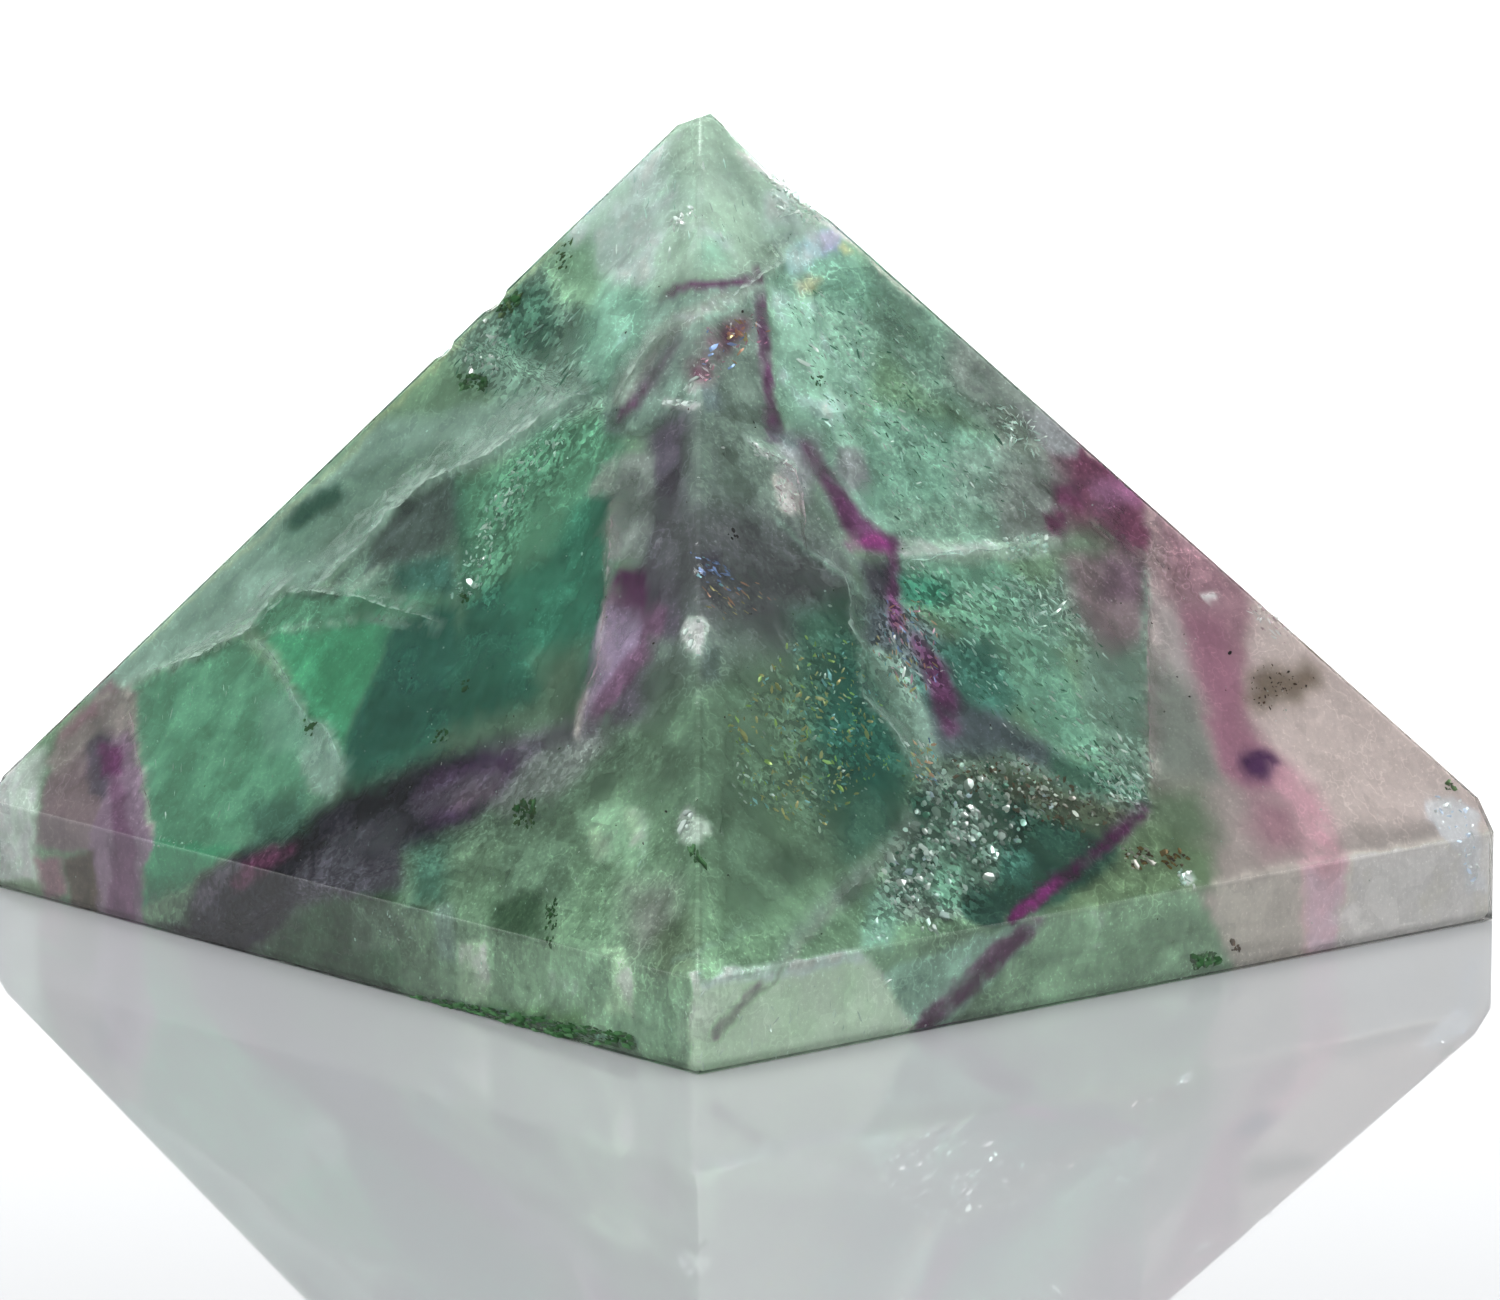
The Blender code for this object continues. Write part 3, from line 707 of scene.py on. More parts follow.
def grain_masks(uv):
    """How strongly each of the three grains shows."""
    masks = np.full((len(uv), 3), LEAST_GRAIN)
    for _, grain, strength, soft, outline in GRAINS:
        mask = masks[:, int(grain)]
        np.maximum(mask, strength * area(uv, outline, soft), out=mask)
    return masks


def grain_flow(points, masks):
    """Points squeezed along the grain, so that noise read there is drawn out into streaks."""
    flow = points.copy()
    total = np.maximum(masks.sum(axis=1), LEAST_GRAIN_SUM)
    for grain, along in enumerate((FALLS_RIGHT, FALLS_LEFT, STANDS)):
        along = unit(along)
        share = masks[:, grain] / total
        flow += ((1 / STREAK_STRETCH - 1) * share * (points @ along))[:, None] * along
    return flow


def mottled(colour, points, flow, contrast):
    """Colour made lighter and darker in soft patches, and in streaks along the grain."""
    patches = PATCH_STRENGTH * noise_field(points, PATCH_SIZE, PATCH_SEED, 4)
    streaks = STREAK_STRENGTH * noise_field(flow, STREAK_SIZE, STREAK_SEED, 4)
    return colour * np.exp(contrast * (patches + streaks))[:, None]


def fold_rise(uv):
    """How far the creases of the cloud stand up towards the surface."""
    rise = np.zeros(len(uv))
    for _, height, soft, line in FOLDS:
        rise = np.maximum(rise, height * MM * stroke(uv, line, soft))
    return rise


# ---------------------------------------------------------------- mesh helpers

NET = 0.55 * MM
SKIRT_TOP = 4.6 * MM
WELD = 0.001 * MM
FLAT_ANGLE = 0.01
SEEN_FROM = 0.05


def fine_stone(splits):
    """The stone's outer shape as a fine net, finest on the faces that the camera sees."""
    bm = bmesh.new()
    bm.from_mesh(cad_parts[STONE_NODE].data)
    bmesh.ops.remove_doubles(bm, verts=bm.verts[:], dist=WELD)
    bmesh.ops.dissolve_limit(bm, angle_limit=FLAT_ANGLE, verts=bm.verts[:], edges=bm.edges[:])
    for axis, top in ((0, CAD_HIGH.x), (1, CAD_HIGH.y), (2, CAD_LOW.z + SKIRT_TOP)):
        normal = Vector((axis == 0, axis == 1, axis == 2))
        level = CAD_LOW[axis] + NET / 2
        while level < top:
            everything = bm.verts[:] + bm.edges[:] + bm.faces[:]
            bmesh.ops.bisect_plane(bm, geom=everything, dist=WELD, plane_co=normal * level, plane_no=normal)
            level += NET
    bmesh.ops.triangulate(bm, faces=bm.faces[:])
    to_camera = Vector(EYE_BACK)
    for _ in range(splits):
        front = {edge for face in bm.faces if face.normal.dot(to_camera) > SEEN_FROM for edge in face.edges}
        bmesh.ops.subdivide_edges(bm, edges=list(front), cuts=1, use_grid_fill=True)
        bmesh.ops.triangulate(bm, faces=[face for face in bm.faces if len(face.verts) > 3])
    return bm


def add_piece(name, mesh, material):
    mesh.materials.append(material)
    piece = bpy.data.objects.new(name, mesh)
    bpy.context.scene.collection.objects.link(piece)
    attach(piece, BODY)
    return piece


def as_mesh(name, bm, sharp_angle):
    mesh = bpy.data.meshes.new(name)
    bm.to_mesh(mesh)
    bm.free()
    mesh.shade_smooth()
    mesh.set_sharp_from_angle(angle=radians(sharp_angle))
    return mesh


def vertex_array(mesh, what):
    values = np.zeros(len(mesh.vertices) * 3, np.float32)
    mesh.vertices.foreach_get(what, values)
    return values.reshape(-1, 3).astype(float)


def paint(mesh, name, colours):
    layer = mesh.attributes.new(name, "FLOAT_COLOR", "POINT")
    rgba = np.ones((len(colours), 4), np.float32)
    rgba[:, :colours.shape[1]] = colours
    layer.data.foreach_set("color", rgba.ravel())


def paint_flow(mesh, flow):
    layer = mesh.attributes.new("flow", "FLOAT_VECTOR", "POINT")
    layer.data.foreach_set("vector", flow.astype(np.float32).ravel())


# ---------------------------------------------------------------- materials

def new_material(name):
    material = bpy.data.materials.new(name)
    material.use_nodes = True
    return material, material.node_tree, material.node_tree.nodes["Principled BSDF"]


def math(tree, operation, *values):
    """A Math node's result, from numbers and sockets."""
    node = tree.nodes.new("ShaderNodeMath")
    node.operation = operation
    for socket, value in zip(node.inputs, values):
        if isinstance(value, (int, float)):
            socket.default_value = value
        else:
            tree.links.new(value, socket)
    return node.outputs["Value"]


def ranged(tree, value, old, new):
    """A value carried from one range, low and high, to another, and held inside it."""
    node = tree.nodes.new("ShaderNodeMapRange")
    for name, number in zip(("From Min", "From Max", "To Min", "To Max"), (*old, *new)):
        node.inputs[name].default_value = number
    tree.links.new(value, node.inputs["Value"])
    return node.outputs["Result"]


PATTERN_ROUGHNESS = 0.6


def pattern(tree, size_mm, detail, coordinates=None):
    """Noise from 0 to 1 with features so many mm wide."""
    if coordinates is None:
        coordinates = tree.nodes.new("ShaderNodeTexCoord").outputs["Object"]
    texture = tree.nodes.new("ShaderNodeTexNoise")
    texture.inputs["Scale"].default_value = 1 / (size_mm * MM)
    texture.inputs["Detail"].default_value = detail
    texture.inputs["Roughness"].default_value = PATTERN_ROUGHNESS
    tree.links.new(coordinates, texture.inputs["Vector"])
    return texture.outputs["Fac"]


def attribute(tree, name):
    node = tree.nodes.new("ShaderNodeAttribute")
    node.attribute_name = name
    return node


def scaled_colour(tree, colour, factor):
    node = tree.nodes.new("ShaderNodeVectorMath")
    node.operation = "SCALE"
    tree.links.new(colour, node.inputs[0])
    tree.links.new(factor, node.inputs["Scale"])
    return node.outputs["Vector"]


BLOCK_SIZE_MM = 1.3
BLOCK_SPREAD, BLOCK_SHADE = (0.2, 0.8), (-0.2, 0.2)
HAIRLINE_SPACING_MM = 1.8
HAIRLINE_WIDTH = 0.012
HAIRLINE_LIGHT = 0.8
HAIRLINE_REGION_MM, HAIRLINE_REGION_EDGE = 4.0, (0.46, 0.58)
GRAIN_SIZE_MM = 0.25
GRAIN_SPREAD, GRAIN_SHADE = (0.3, 0.7), (-0.22, 0.22)
GLINT_SPECK_SHARE, GLINT_SPECK_EDGE = 0.5, (0.60, 0.76)
FACET_SHARE, FACET_SPREAD, FACET_SHADE = 0.6, (0.3, 0.75), (-0.95, 1.9)
NONE_TO_ALL = (0.0, 1.0)


def cells(tree, size_mm, coordinates, distance):
    """A random number from about 0.2 to 0.8 for each of many small cells."""
    texture = tree.nodes.new("ShaderNodeTexVoronoi")
    texture.distance = distance
    texture.inputs["Scale"].default_value = 1 / (size_mm * MM)
    tree.links.new(coordinates, texture.inputs["Vector"])
    return texture.outputs["Color"]


def hairlines(tree):
    """Thin, light, winding lines, as the edges of healed fractures show, in some parts of the stone."""
    level = math(tree, "ABSOLUTE", math(tree, "SUBTRACT", pattern(tree, HAIRLINE_SPACING_MM, 3), 0.5))
    line = ranged(tree, level, (0.0, HAIRLINE_WIDTH), (HAIRLINE_LIGHT, 0.0))
    region = ranged(tree, pattern(tree, HAIRLINE_REGION_MM, 2), HAIRLINE_REGION_EDGE, NONE_TO_ALL)
    return math(tree, "MULTIPLY", line, region)


def grained_colour(tree):
    """The painted colour with a fine grain, bright specks painted as glints, growth blocks, hairlines, and
    facets lit and shaded as painted glitter.
    """
    split = tree.nodes.new("ShaderNodeSeparateColor")
    tree.links.new(attribute(tree, "grit").outputs["Color"], split.inputs["Color"])
    grain = ranged(tree, pattern(tree, GRAIN_SIZE_MM, 4), GRAIN_SPREAD, GRAIN_SHADE)
    # bright specks: painted glints
    glint_speck_noise = pattern(tree, GRAIN_SIZE_MM * GLINT_SPECK_SHARE, 2)
    specks = ranged(tree, glint_speck_noise, GLINT_SPECK_EDGE, NONE_TO_ALL)
    place = tree.nodes.new("ShaderNodeTexCoord").outputs["Object"]
    blocks = ranged(tree, cells(tree, BLOCK_SIZE_MM, place, "CHEBYCHEV"), BLOCK_SPREAD, BLOCK_SHADE)
    for part in (specks, blocks, hairlines(tree)):
        grain = math(tree, "ADD", grain, part)
    flow = attribute(tree, "flow").outputs["Vector"]
    # facets: painted glitter, in light and dark cells
    facets = cells(tree, GRAIN_SIZE_MM * FACET_SHARE, flow, "EUCLIDEAN")
    mosaic = ranged(tree, facets, FACET_SPREAD, FACET_SHADE)
    shade = math(tree, "MULTIPLY_ADD", grain, split.outputs["Red"], 1.0)
    glitter = math(tree, "MULTIPLY_ADD", mosaic, split.outputs["Green"], 1.0)
    return scaled_colour(tree, attribute(tree, "growth").outputs["Color"],
                         math(tree, "MULTIPLY", shade, glitter))


# how strongly the clear stone takes up light, and what it lets through
ABSORPTION_COLOUR = (0.55, 0.80, 0.68, 1)
ABSORPTION_DENSITY = 10.0
SCUFF_SIZE_MM, SCUFF_EDGE, SCUFF_ROUGHNESS = 1.2, (0.5, 0.75), (0.01, 0.08)
CLOUD_IOR = 1.3
CLOUD_ROUGHNESS = 0.8
CLOUD_TRANSMISSION = 0.35
INCLUSION_IOR = 1.6
SHEET_STREAK_MM, SHEET_STREAK_EDGE, SHEET_STREAK_SHADE = 0.35, (0.4, 0.62), (0.2, 1.0)


def crystal_material():
    material, tree, shader = new_material("fluorite")
    shader.inputs["IOR"].default_value = IOR
    shader.inputs["Transmission Weight"].default_value = 1.0
    tree.links.new(attribute(tree, "growth").outputs["Color"], shader.inputs["Base Color"])
    scuffs = ranged(tree, pattern(tree, SCUFF_SIZE_MM, 5), SCUFF_EDGE, SCUFF_ROUGHNESS)
    tree.links.new(scuffs, shader.inputs["Roughness"])
    volume = tree.nodes.new("ShaderNodeVolumeAbsorption")
    volume.inputs["Color"].default_value = ABSORPTION_COLOUR
    volume.inputs["Density"].default_value = ABSORPTION_DENSITY
    tree.links.new(volume.outputs["Volume"], tree.nodes["Material Output"].inputs["Volume"])
    return material


def cloud_material(name, grained):
    """Milky stone. Where it is grained, it is also thinner and thicker by its cloudiness."""
    material, tree, shader = new_material(name)
    shader.inputs["IOR"].default_value = CLOUD_IOR
    shader.inputs["Roughness"].default_value = CLOUD_ROUGHNESS
    shader.inputs["Transmission Weight"].default_value = CLOUD_TRANSMISSION
    growth = attribute(tree, "growth")
    colour = grained_colour(tree) if grained else growth.outputs["Color"]
    tree.links.new(colour, shader.inputs["Base Color"])
    if grained:
        tree.links.new(growth.outputs["Alpha"], shader.inputs["Alpha"])
    return material


def inclusion_material(name, roughness, metallic, see_through=False):
    material, tree, shader = new_material(name)
    shader.inputs["Metallic"].default_value = metallic
    tint = attribute(tree, "growth")
    tree.links.new(tint.outputs["Color"], shader.inputs["Base Color"])
    shader.inputs["Roughness"].default_value = roughness
    shader.inputs["IOR"].default_value = INCLUSION_IOR
    if see_through:
        streaks = pattern(tree, SHEET_STREAK_MM, 4, attribute(tree, "flow").outputs["Vector"])
        streaks = ranged(tree, streaks, SHEET_STREAK_EDGE, SHEET_STREAK_SHADE)
        tree.links.new(math(tree, "MULTIPLY", streaks, tint.outputs["Alpha"]), shader.inputs["Alpha"])
    return material


# ---------------------------------------------------------------- the stone and the clouds in it

CENTRE = Vector((0, 0, 0.5 * MM))
FLAT_SKIN_DEGREES, CLOUD_SKIN_DEGREES = 12, 30
# wear on the edges that the camera doesn't look straight at
WORN_EDGE_ANGLE = 0.25
WORN_TURNED_AWAY = 0.6
WEAR = 0.03 * MM
NICK_SIZE = 1.1 * MM
NICK_SHARPNESS = 1.5
SKIN_WANDER = 6
SKIN_TINT = 0.3
LEAST_TINT = 0.001
# where the front ridge is drawn out to a sharp line
RIDGE_REACH = 0.125 * MM
TIP_CLEARANCE = 1.2 * MM
SKIRT_CLEARANCE = 4.0 * MM
# how the clouds meet the edges of the stone, where the outer one is also milkier
RIDGE_HUG = 4.0 * MM
BASE_GAP = 0.03 * MM
EDGE_GAP = 0.06 * MM
EDGE_MILK = 2.0 * MM
EDGE_MOST = 0.9
LUMP_SIZE, LUMP_SEED = 2.4 * MM, 21
CALM_LUMPS = 0.8
MOST_OUTWARD = 0.15 * MM
# the soft line where the two front slopes meet: the cloud gets painted shade along it, against the light
# that reaches it there through both slopes, and thinner milk
FRONT_RIDGE_U = 699.5
RIDGE_LINE = 4.0
RIDGE_SHADE = 0.1
RIDGE_THINNING = 0.3
# how cloudy the stone is: clearer and milkier patches, and calm milk
MILK_SIZE, MILK_SEED = 1.4 * MM, 41
MILK_MEAN, MILK_SWING, MILK_LEAST = 0.66, 0.65, 0.25
CALM_MILK = 1.1
CALM_GRAIN = 0.8


def sharpen_front_ridge(bm):
    """Draws the eased front ridge out to the line where the two front slopes meet."""
    (point_a, normal_a), (point_b, normal_b) = PLANES["right_slope"], PLANES["front_slope"]
    along = unit(np.cross(normal_a, normal_b))
    system = np.stack([normal_a, normal_b, along])
    for vert in bm.verts:
        co = np.array(vert.co)
        at = np.linalg.solve(system, np.array([normal_a @ point_a, normal_b @ point_b, along @ co]))
        between = CAD_LOW.z + SKIRT_CLEARANCE < co[2] < CAD_HIGH.z - TIP_CLEARANCE
        if between and np.linalg.norm(at - co) < RIDGE_REACH:
            vert.co = Vector(at)


def make_crystal():
    bm = fine_stone(2)
    to_camera = Vector(EYE_BACK)
    worn = {vert for edge in bm.edges if edge.calc_face_angle(0) > WORN_EDGE_ANGLE for vert in edge.verts}
    for vert in worn:
        if vert.normal.dot(to_camera) < WORN_TURNED_AWAY:
            nick = noise.fractal(vert.co / NICK_SIZE, ROUGH_NOISE, OCTAVE_STEP, 4)
            vert.co -= vert.normal * WEAR * max(0, nick) ** NICK_SHARPNESS
    sharpen_front_ridge(bm)
    piece = add_piece("crystal", as_mesh("crystal", bm, FLAT_SKIN_DEGREES), crystal_material())
    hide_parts(STONE_NODE)
    points = vertex_array(piece.data, "co")
    colour = growth_colour(wandered(points, SKIN_WANDER), points)
    paint(piece.data, "growth", np.clip(colour, LEAST_TINT, 1) ** SKIN_TINT)


def sculpt_cloud(mesh, sink, hug):
    """Sinks a cloud under the stone's faces in lumps and folds, so that it just clears the edges."""
    points = vertex_array(mesh, "co")
    uv, _ = seen_at(points)
    lumps = noise_field(points, LUMP_SIZE, LUMP_SEED, 4) * (1 - CALM_LUMPS * strongest(uv, CALM))
    distances = face_distances(points)
    from_ridge = smooth(distances[:, 1] / RIDGE_HUG)
    sunk = np.clip(sink * (0.5 + 0.5 * lumps) - fold_rise(uv), -MOST_OUTWARD, None) * from_ridge
    sunk -= hug * (distances[:, 0] - EDGE_GAP) * (1 - from_ridge)
    points -= vertex_array(mesh, "normal") * sunk[:, None]
    points[:, 2] = np.maximum(points[:, 2], CAD_LOW.z + BASE_GAP)
    mesh.vertices.foreach_set("co", points.astype(np.float32).ravel())
    mesh.update()
    return points


def paint_cloud(mesh, points, wander, contrast):
    """Colours a cloud with the growth zones, and says how milky and how grainy it is."""
    uv = wandered(points, wander)
    flow = grain_flow(points, grain_masks(uv))
    calm = strongest(uv, CALM)
    near_edge = 1 - smooth(face_distances(points)[:, 1] / EDGE_MILK)
    at_ridge = np.exp(-((seen_at(points)[0][:, 0] - FRONT_RIDGE_U) / RIDGE_LINE) ** 2)
    colour = pigment(mottled(growth_colour(uv, points), points, flow, contrast * (1 - calm)))
    # painted shade along the front ridge
    colour *= (1 - RIDGE_SHADE * at_ridge)[:, None]
    milk = MILK_MEAN + MILK_SWING * noise_field(flow, MILK_SIZE, MILK_SEED, 4)
    milk = (1 - strongest(uv, CLEAR)) * np.clip(milk, MILK_LEAST, 1)
    edge_milk = (EDGE_MOST - RIDGE_THINNING * at_ridge) * near_edge
    milk = np.maximum.reduce([milk, edge_milk, CALM_MILK * calm])
    paint(mesh, "growth", np.column_stack([colour, np.minimum(milk, 1)]))
    # how grainy the cloud is, and how strongly its facets carry painted glitter
    paint(mesh, "grit", np.column_stack([1 - CALM_GRAIN * calm, strongest(uv, MOSAIC)]))
    paint_flow(mesh, flow)


def make_cloud(name, material, scale, splits, sink, hug, wander, contrast):
    """A milky body nested in the stone, sculpted by the folds and painted with the growth zones."""
    bm = fine_stone(splits)
    for vert in bm.verts:
        vert.co = CENTRE + (vert.co - CENTRE) * scale
    mesh = as_mesh(name, bm, CLOUD_SKIN_DEGREES)
    points = sculpt_cloud(mesh, sink, hug)
    add_piece(name, mesh, material)
    paint_cloud(mesh, points, wander, contrast)


# ---------------------------------------------------------------- things sealed in the stone

# colours of what is sealed in the stone
TINTS = named_colours("""
white 0.92 0.96 0.94 | ice 0.66 0.88 0.8 | blue_white 0.72 0.84 0.97 | silver 0.6 0.58 0.54
bronze 0.22 0.16 0.11 | gold 0.62 0.56 0.26 | orange 0.72 0.42 0.28 | rose 0.75 0.42 0.52
blue 0.28 0.42 0.72 | cyan 0.34 0.68 0.72 | lime 0.5 0.72 0.22 | fern 0.012 0.1 0.016
olive 0.05 0.12 0.03 | rust 0.1 0.06 0.035 | amber 0.2 0.12 0.03 | umber 0.05 0.035 0.03
black 0.008 0.008 0.008 | pale_rose 0.75 0.62 0.66 | milk 0.72 0.84 0.78 | mid_green 0.1 0.26 0.18
flake 0.5 0.6 0.55
""")
LENS_MOUTH = "940,765 1020,760 1060,800 1010,860 960,920 870,915 885,865"
# name, tints, how many, length mm, width mm, angle and its spread in degrees, least and most
# mm deep | outline
GLINTS = table(f"""
right_ticks white+ice+ice+mid_green 420 0.22 0.06 42 12 0.1 1.2 | 900,560 1060,580 1140,700 1120,800
    960,700
shoulder_ticks ice+white+mid_green 200 0.2 0.05 40 14 0.1 0.9 | 780,290 870,290 930,430 830,440
upper_right_specks ice+white+mid_green 420 0.2 0.05 40 25 0.1 1.5 | 850,280 1000,400 1040,520 900,540
    860,430
lens_glitter white+ice+flake 200 0.22 0.18 0 90 0.05 0.9 | {LENS_MOUTH}
lens_grit flake+flake+mid_green 420 0.13 0.1 0 90 0.05 1.4 | {LENS_MOUTH}
lens_drops_a ice+milk+white 96 0.24 0.13 0 90 0.05 0.5 | 950,806 975,806 978,840 952,842
lens_drops_b ice 25 0.2 0.12 0 90 0.05 0.5 | 982,846 998,846 998,861 984,860
lens_drops_c ice+milk 25 0.24 0.13 0 90 0.05 0.5 | 922,850 938,850 938,868 924,868
lens_drops_d ice+milk+white 82 0.2 0.12 0 90 0.05 0.5 | 884,876 928,878 926,908 886,908
lens_drops_e ice+flake 25 0.24 0.13 0 90 0.05 0.5 | 918,914 950,916 946,932 918,930
lens_drops_f ice 32 0.2 0.12 0 90 0.05 0.3 | 870,920 890,922 890,942 872,940
teal_glints ice+white 70 0.24 0.08 50 40 0.05 0.5 | 1094,774 1142,778 1148,806 1104,800
foot_glint ice+white 16 0.26 0.16 0 60 0.05 0.3 | 1177,870 1196,872 1196,890 1178,888
lens_sheets white+blue_white+ice 50 0.26 0.15 20 50 0.1 1.4 | {LENS_MOUTH}
lens_bronze silver+bronze+bronze+white 240 0.15 0.08 10 60 0.05 1 | 945,758 1020,755 1130,812 1080,835
    960,795
foot_ticks ice+white 150 0.25 0.05 35 25 0.1 0.8 | 1080,745 1150,750 1150,810 1100,790
left_chain milk+white+ice 240 0.15 0.07 -38 50 0.05 0.5 | 448,596 462,560 490,500 520,455 560,420
    566,440 530,490 495,540 478,600
upper_left_sparkles white+white+ice 90 0.17 0.1 -40 50 0.05 0.4 | 462,352 478,322 508,318 512,350
    500,372 470,376
chip_zone white+milk 70 0.2 0.07 30 40 0.02 0.2 | 760,172 780,178 804,200 800,215 780,212
upper_left_ticks ice+mid_green 200 0.3 0.05 -48 14 0.1 1 | 430,350 560,250 600,390 520,420
low_glints white+ice 60 0.15 0.08 -40 60 0.1 0.6 | 372,912 412,902 420,948 384,952
corner_line ice+white 40 0.1 0.05 5 40 0.05 0.3 | 148,836 205,840 205,850 148,846
corner_chips blue_white+white 60 0.22 0.1 30 60 0.05 0.3 | 1425,795 1470,800 1484,890 1462,890 1450,840
tip_edge_chips white+milk+ice 90 0.16 0.09 40 60 0.05 0.3 | 768,170 782,172 824,220 806,226
tip_flecks white+milk 40 0.2 0.07 20 40 0.05 0.3 | 664,222 690,206 700,212 676,232
tip_wisps milk+ice 70 0.35 0.05 86 14 0.1 1.2 | 640,150 720,140 770,260 600,285
left_streaks milk 40 0.3 0.04 86 8 0.1 0.8 | 140,700 240,650 290,800 160,840
low_streaks milk+ice 160 0.16 0.05 78 22 0.1 1.2 | 330,900 520,850 690,790 690,1060 420,990
skirt_streaks milk 60 0.3 0.05 100 25 0.1 0.5 | 700,985 880,965 905,1035 700,1075
scribble milk+ice 90 0.26 0.05 30 60 0.05 0.4 | 998,400 1030,410 1048,440 1040,456 1005,448
scribble_low milk+ice 120 0.26 0.05 35 50 0.05 0.5 | 1005,575 1060,575 1085,640 1040,640 1010,610
shelf_grain milk+ice 130 0.12 0.08 0 80 0.05 0.3 | 1004,537 1048,533 1048,552 1008,560
beige_glints white+pale_rose 60 0.25 0.1 35 40 0.1 0.5 | 1250,598 1292,630 1286,648 1248,618
dust white+ice+milk 1500 0.07 0.045 0 90 0.05 2.5 | 690,130 0,780 0,890 690,1070 1480,930 1480,800
    760,160
""")
# as in GLINTS: small fractures that split the light
RAINBOWS = table("""
mast_rainbow blue+orange+white+rose 46 0.26 0.07 -35 30 0.1 0.7 | 700,330 755,310 775,320 770,345
    705,385
patch_gold orange+gold 24 0.2 0.08 20 40 0.1 0.4 | 727,322 748,320 747,338 728,338
heart_blue blue+blue+cyan 40 0.22 0.08 30 20 0.05 0.4 | 690,550 735,570 742,595 700,580
heart_orange orange+gold 34 0.24 0.05 35 15 0.05 0.4 | 690,588 770,582 782,602 722,622
heart_gold gold+gold+lime+cyan+milk 440 0.18 0.07 60 50 0.05 0.5 | 725,720 790,640 850,630 880,700
    900,760 820,830 735,800
ridge_rainbow orange+rose+blue+cyan+white+gold 150 0.24 0.06 60 35 0.05 0.5 | 885,600 930,598 945,680
    905,705 872,650
ridge_foot_rainbow blue+cyan+orange+gold+white 60 0.2 0.07 60 35 0.05 0.4 | 905,740 935,740 942,785
    912,785
""")
# as in GLINTS: moss, grit, amber and pale flakes
SPECKS = table("""
heart_flake flake 7 0.24 0.18 -50 60 0.1 0.3 | 684,630 690,619 704,617 711,624 704,636 701,650 690,648
low_flake flake 7 0.24 0.18 20 60 0.1 0.3 | 677,828 684,810 694,812 694,838 686,839
pink_patch pale_rose+milk 30 0.2 0.08 50 40 0.05 0.3 | 774,478 788,475 800,492 795,511 786,515 779,500
smear milk+flake 30 0.22 0.08 5 14 0.05 0.2 | 657,399 698,401 690,406 662,405
smear_tip milk 12 0.2 0.08 -60 20 0.05 0.15 | 685,388 692,375 697,378 691,391
crack_grain white+milk 60 0.16 0.06 35 30 0.05 0.2 | 742,432 762,446 778,452 797,465 794,471 772,460
    756,455
moss_upper_left fern 60 0.22 0.13 10 40 0.02 0.3 | 457,374 488,374 486,389 460,388
moss_edge fern+olive 40 0.2 0.12 -40 30 0.02 0.2 | 500,300 522,292 516,312 496,318
moss_tip olive 16 0.2 0.1 -50 30 0.02 0.2 | 556,246 574,236 570,268 556,268
moss_a fern 9 0.12 0.1 0 60 0.05 0.3 | 461,592 469,592 469,602 461,602
moss_b fern 9 0.12 0.1 0 60 0.05 0.3 | 461,680 469,680 469,690 461,690
moss_c fern 14 0.14 0.1 0 60 0.05 0.3 | 434,730 447,728 447,742 434,742
moss_d fern 12 0.14 0.1 0 60 0.05 0.3 | 304,720 317,722 316,735 304,735
moss_e fern+olive 60 0.2 0.11 60 40 0.05 0.5 | 512,800 536,800 534,828 514,826
moss_f fern 55 0.2 0.1 80 30 0.05 0.5 | 546,898 558,900 556,950 547,948
moss_right fern 70 0.24 0.13 -15 30 0.02 0.2 | 1190,957 1214,952 1217,964 1194,970
moss_corner olive 14 0.16 0.1 20 30 0.02 0.2 | 1445,778 1456,786 1452,793 1444,788
moss_shoulder fern 14 0.14 0.08 20 40 0.1 0.4 | 812,374 828,376 824,388 812,384
base_line fern 420 0.34 0.09 13 8 0.02 0.15 | 380,992 450,1001 560,1022 630,1034 638,1050 560,1036
    450,1012 380,998
brown_patch umber+rust 60 0.1 0.05 0 70 0.05 0.5 | 1248,676 1262,662 1290,666 1322,678 1300,690 1268,710
    1252,704
amber_spots amber+rust+silver 44 0.22 0.13 20 40 0.05 0.4 | 1122,848 1150,846 1154,866 1128,870
amber_spots_right amber+rust 26 0.22 0.13 20 40 0.05 0.4 | 1160,852 1188,846 1190,862 1166,872
green_comma fern 14 0.3 0.12 70 20 0.1 0.4 | 688,846 694,846 704,864 698,868
black_spot black 7 0.14 0.1 0 60 0.1 0.3 | 728,530 738,530 738,540 728,540
skirt_spot rust 9 0.16 0.1 0 60 0.05 0.2 | 1230,940 1240,940 1240,950 1230,950
dark_grit umber+black+olive 200 0.08 0.05 0 90 0.05 1 | 690,200 160,760 160,900 690,1040 1200,920
    1300,700 900,330
""")


# slivers lie shallower near the front ridge, and the broad ones are rounder than the long ones
RIDGE_SHALLOWS = 60
SHALLOWEST_SHARE = 0.1
SHALLOWER = 0.5
LEAST_DEPTH_MM = 0.04
BURIED = 0.02 * MM
ROUND_FROM = 0.68
MORE_CORNERS = 3
CORNER_SHAKE = 0.3
THICKNESS = 0.15
TILT = 0.35
SIZE_SPREAD = 0.4
TINT_SPREAD = (0.7, 1.05)
SPOT_EDGE = 0.01


def random_spots(draw, outline, count):
    """Random picture positions inside an outline."""
    corners = np.array(outline, float)
    spots = np.zeros((0, 2))
    while len(spots) < count:
        tries = draw.uniform(corners.min(axis=0), corners.max(axis=0), (4 * count, 2))
        spots = np.concatenate([spots, tries[area(tries, outline, SPOT_EDGE) > 0.5]])
    return spots[:count]


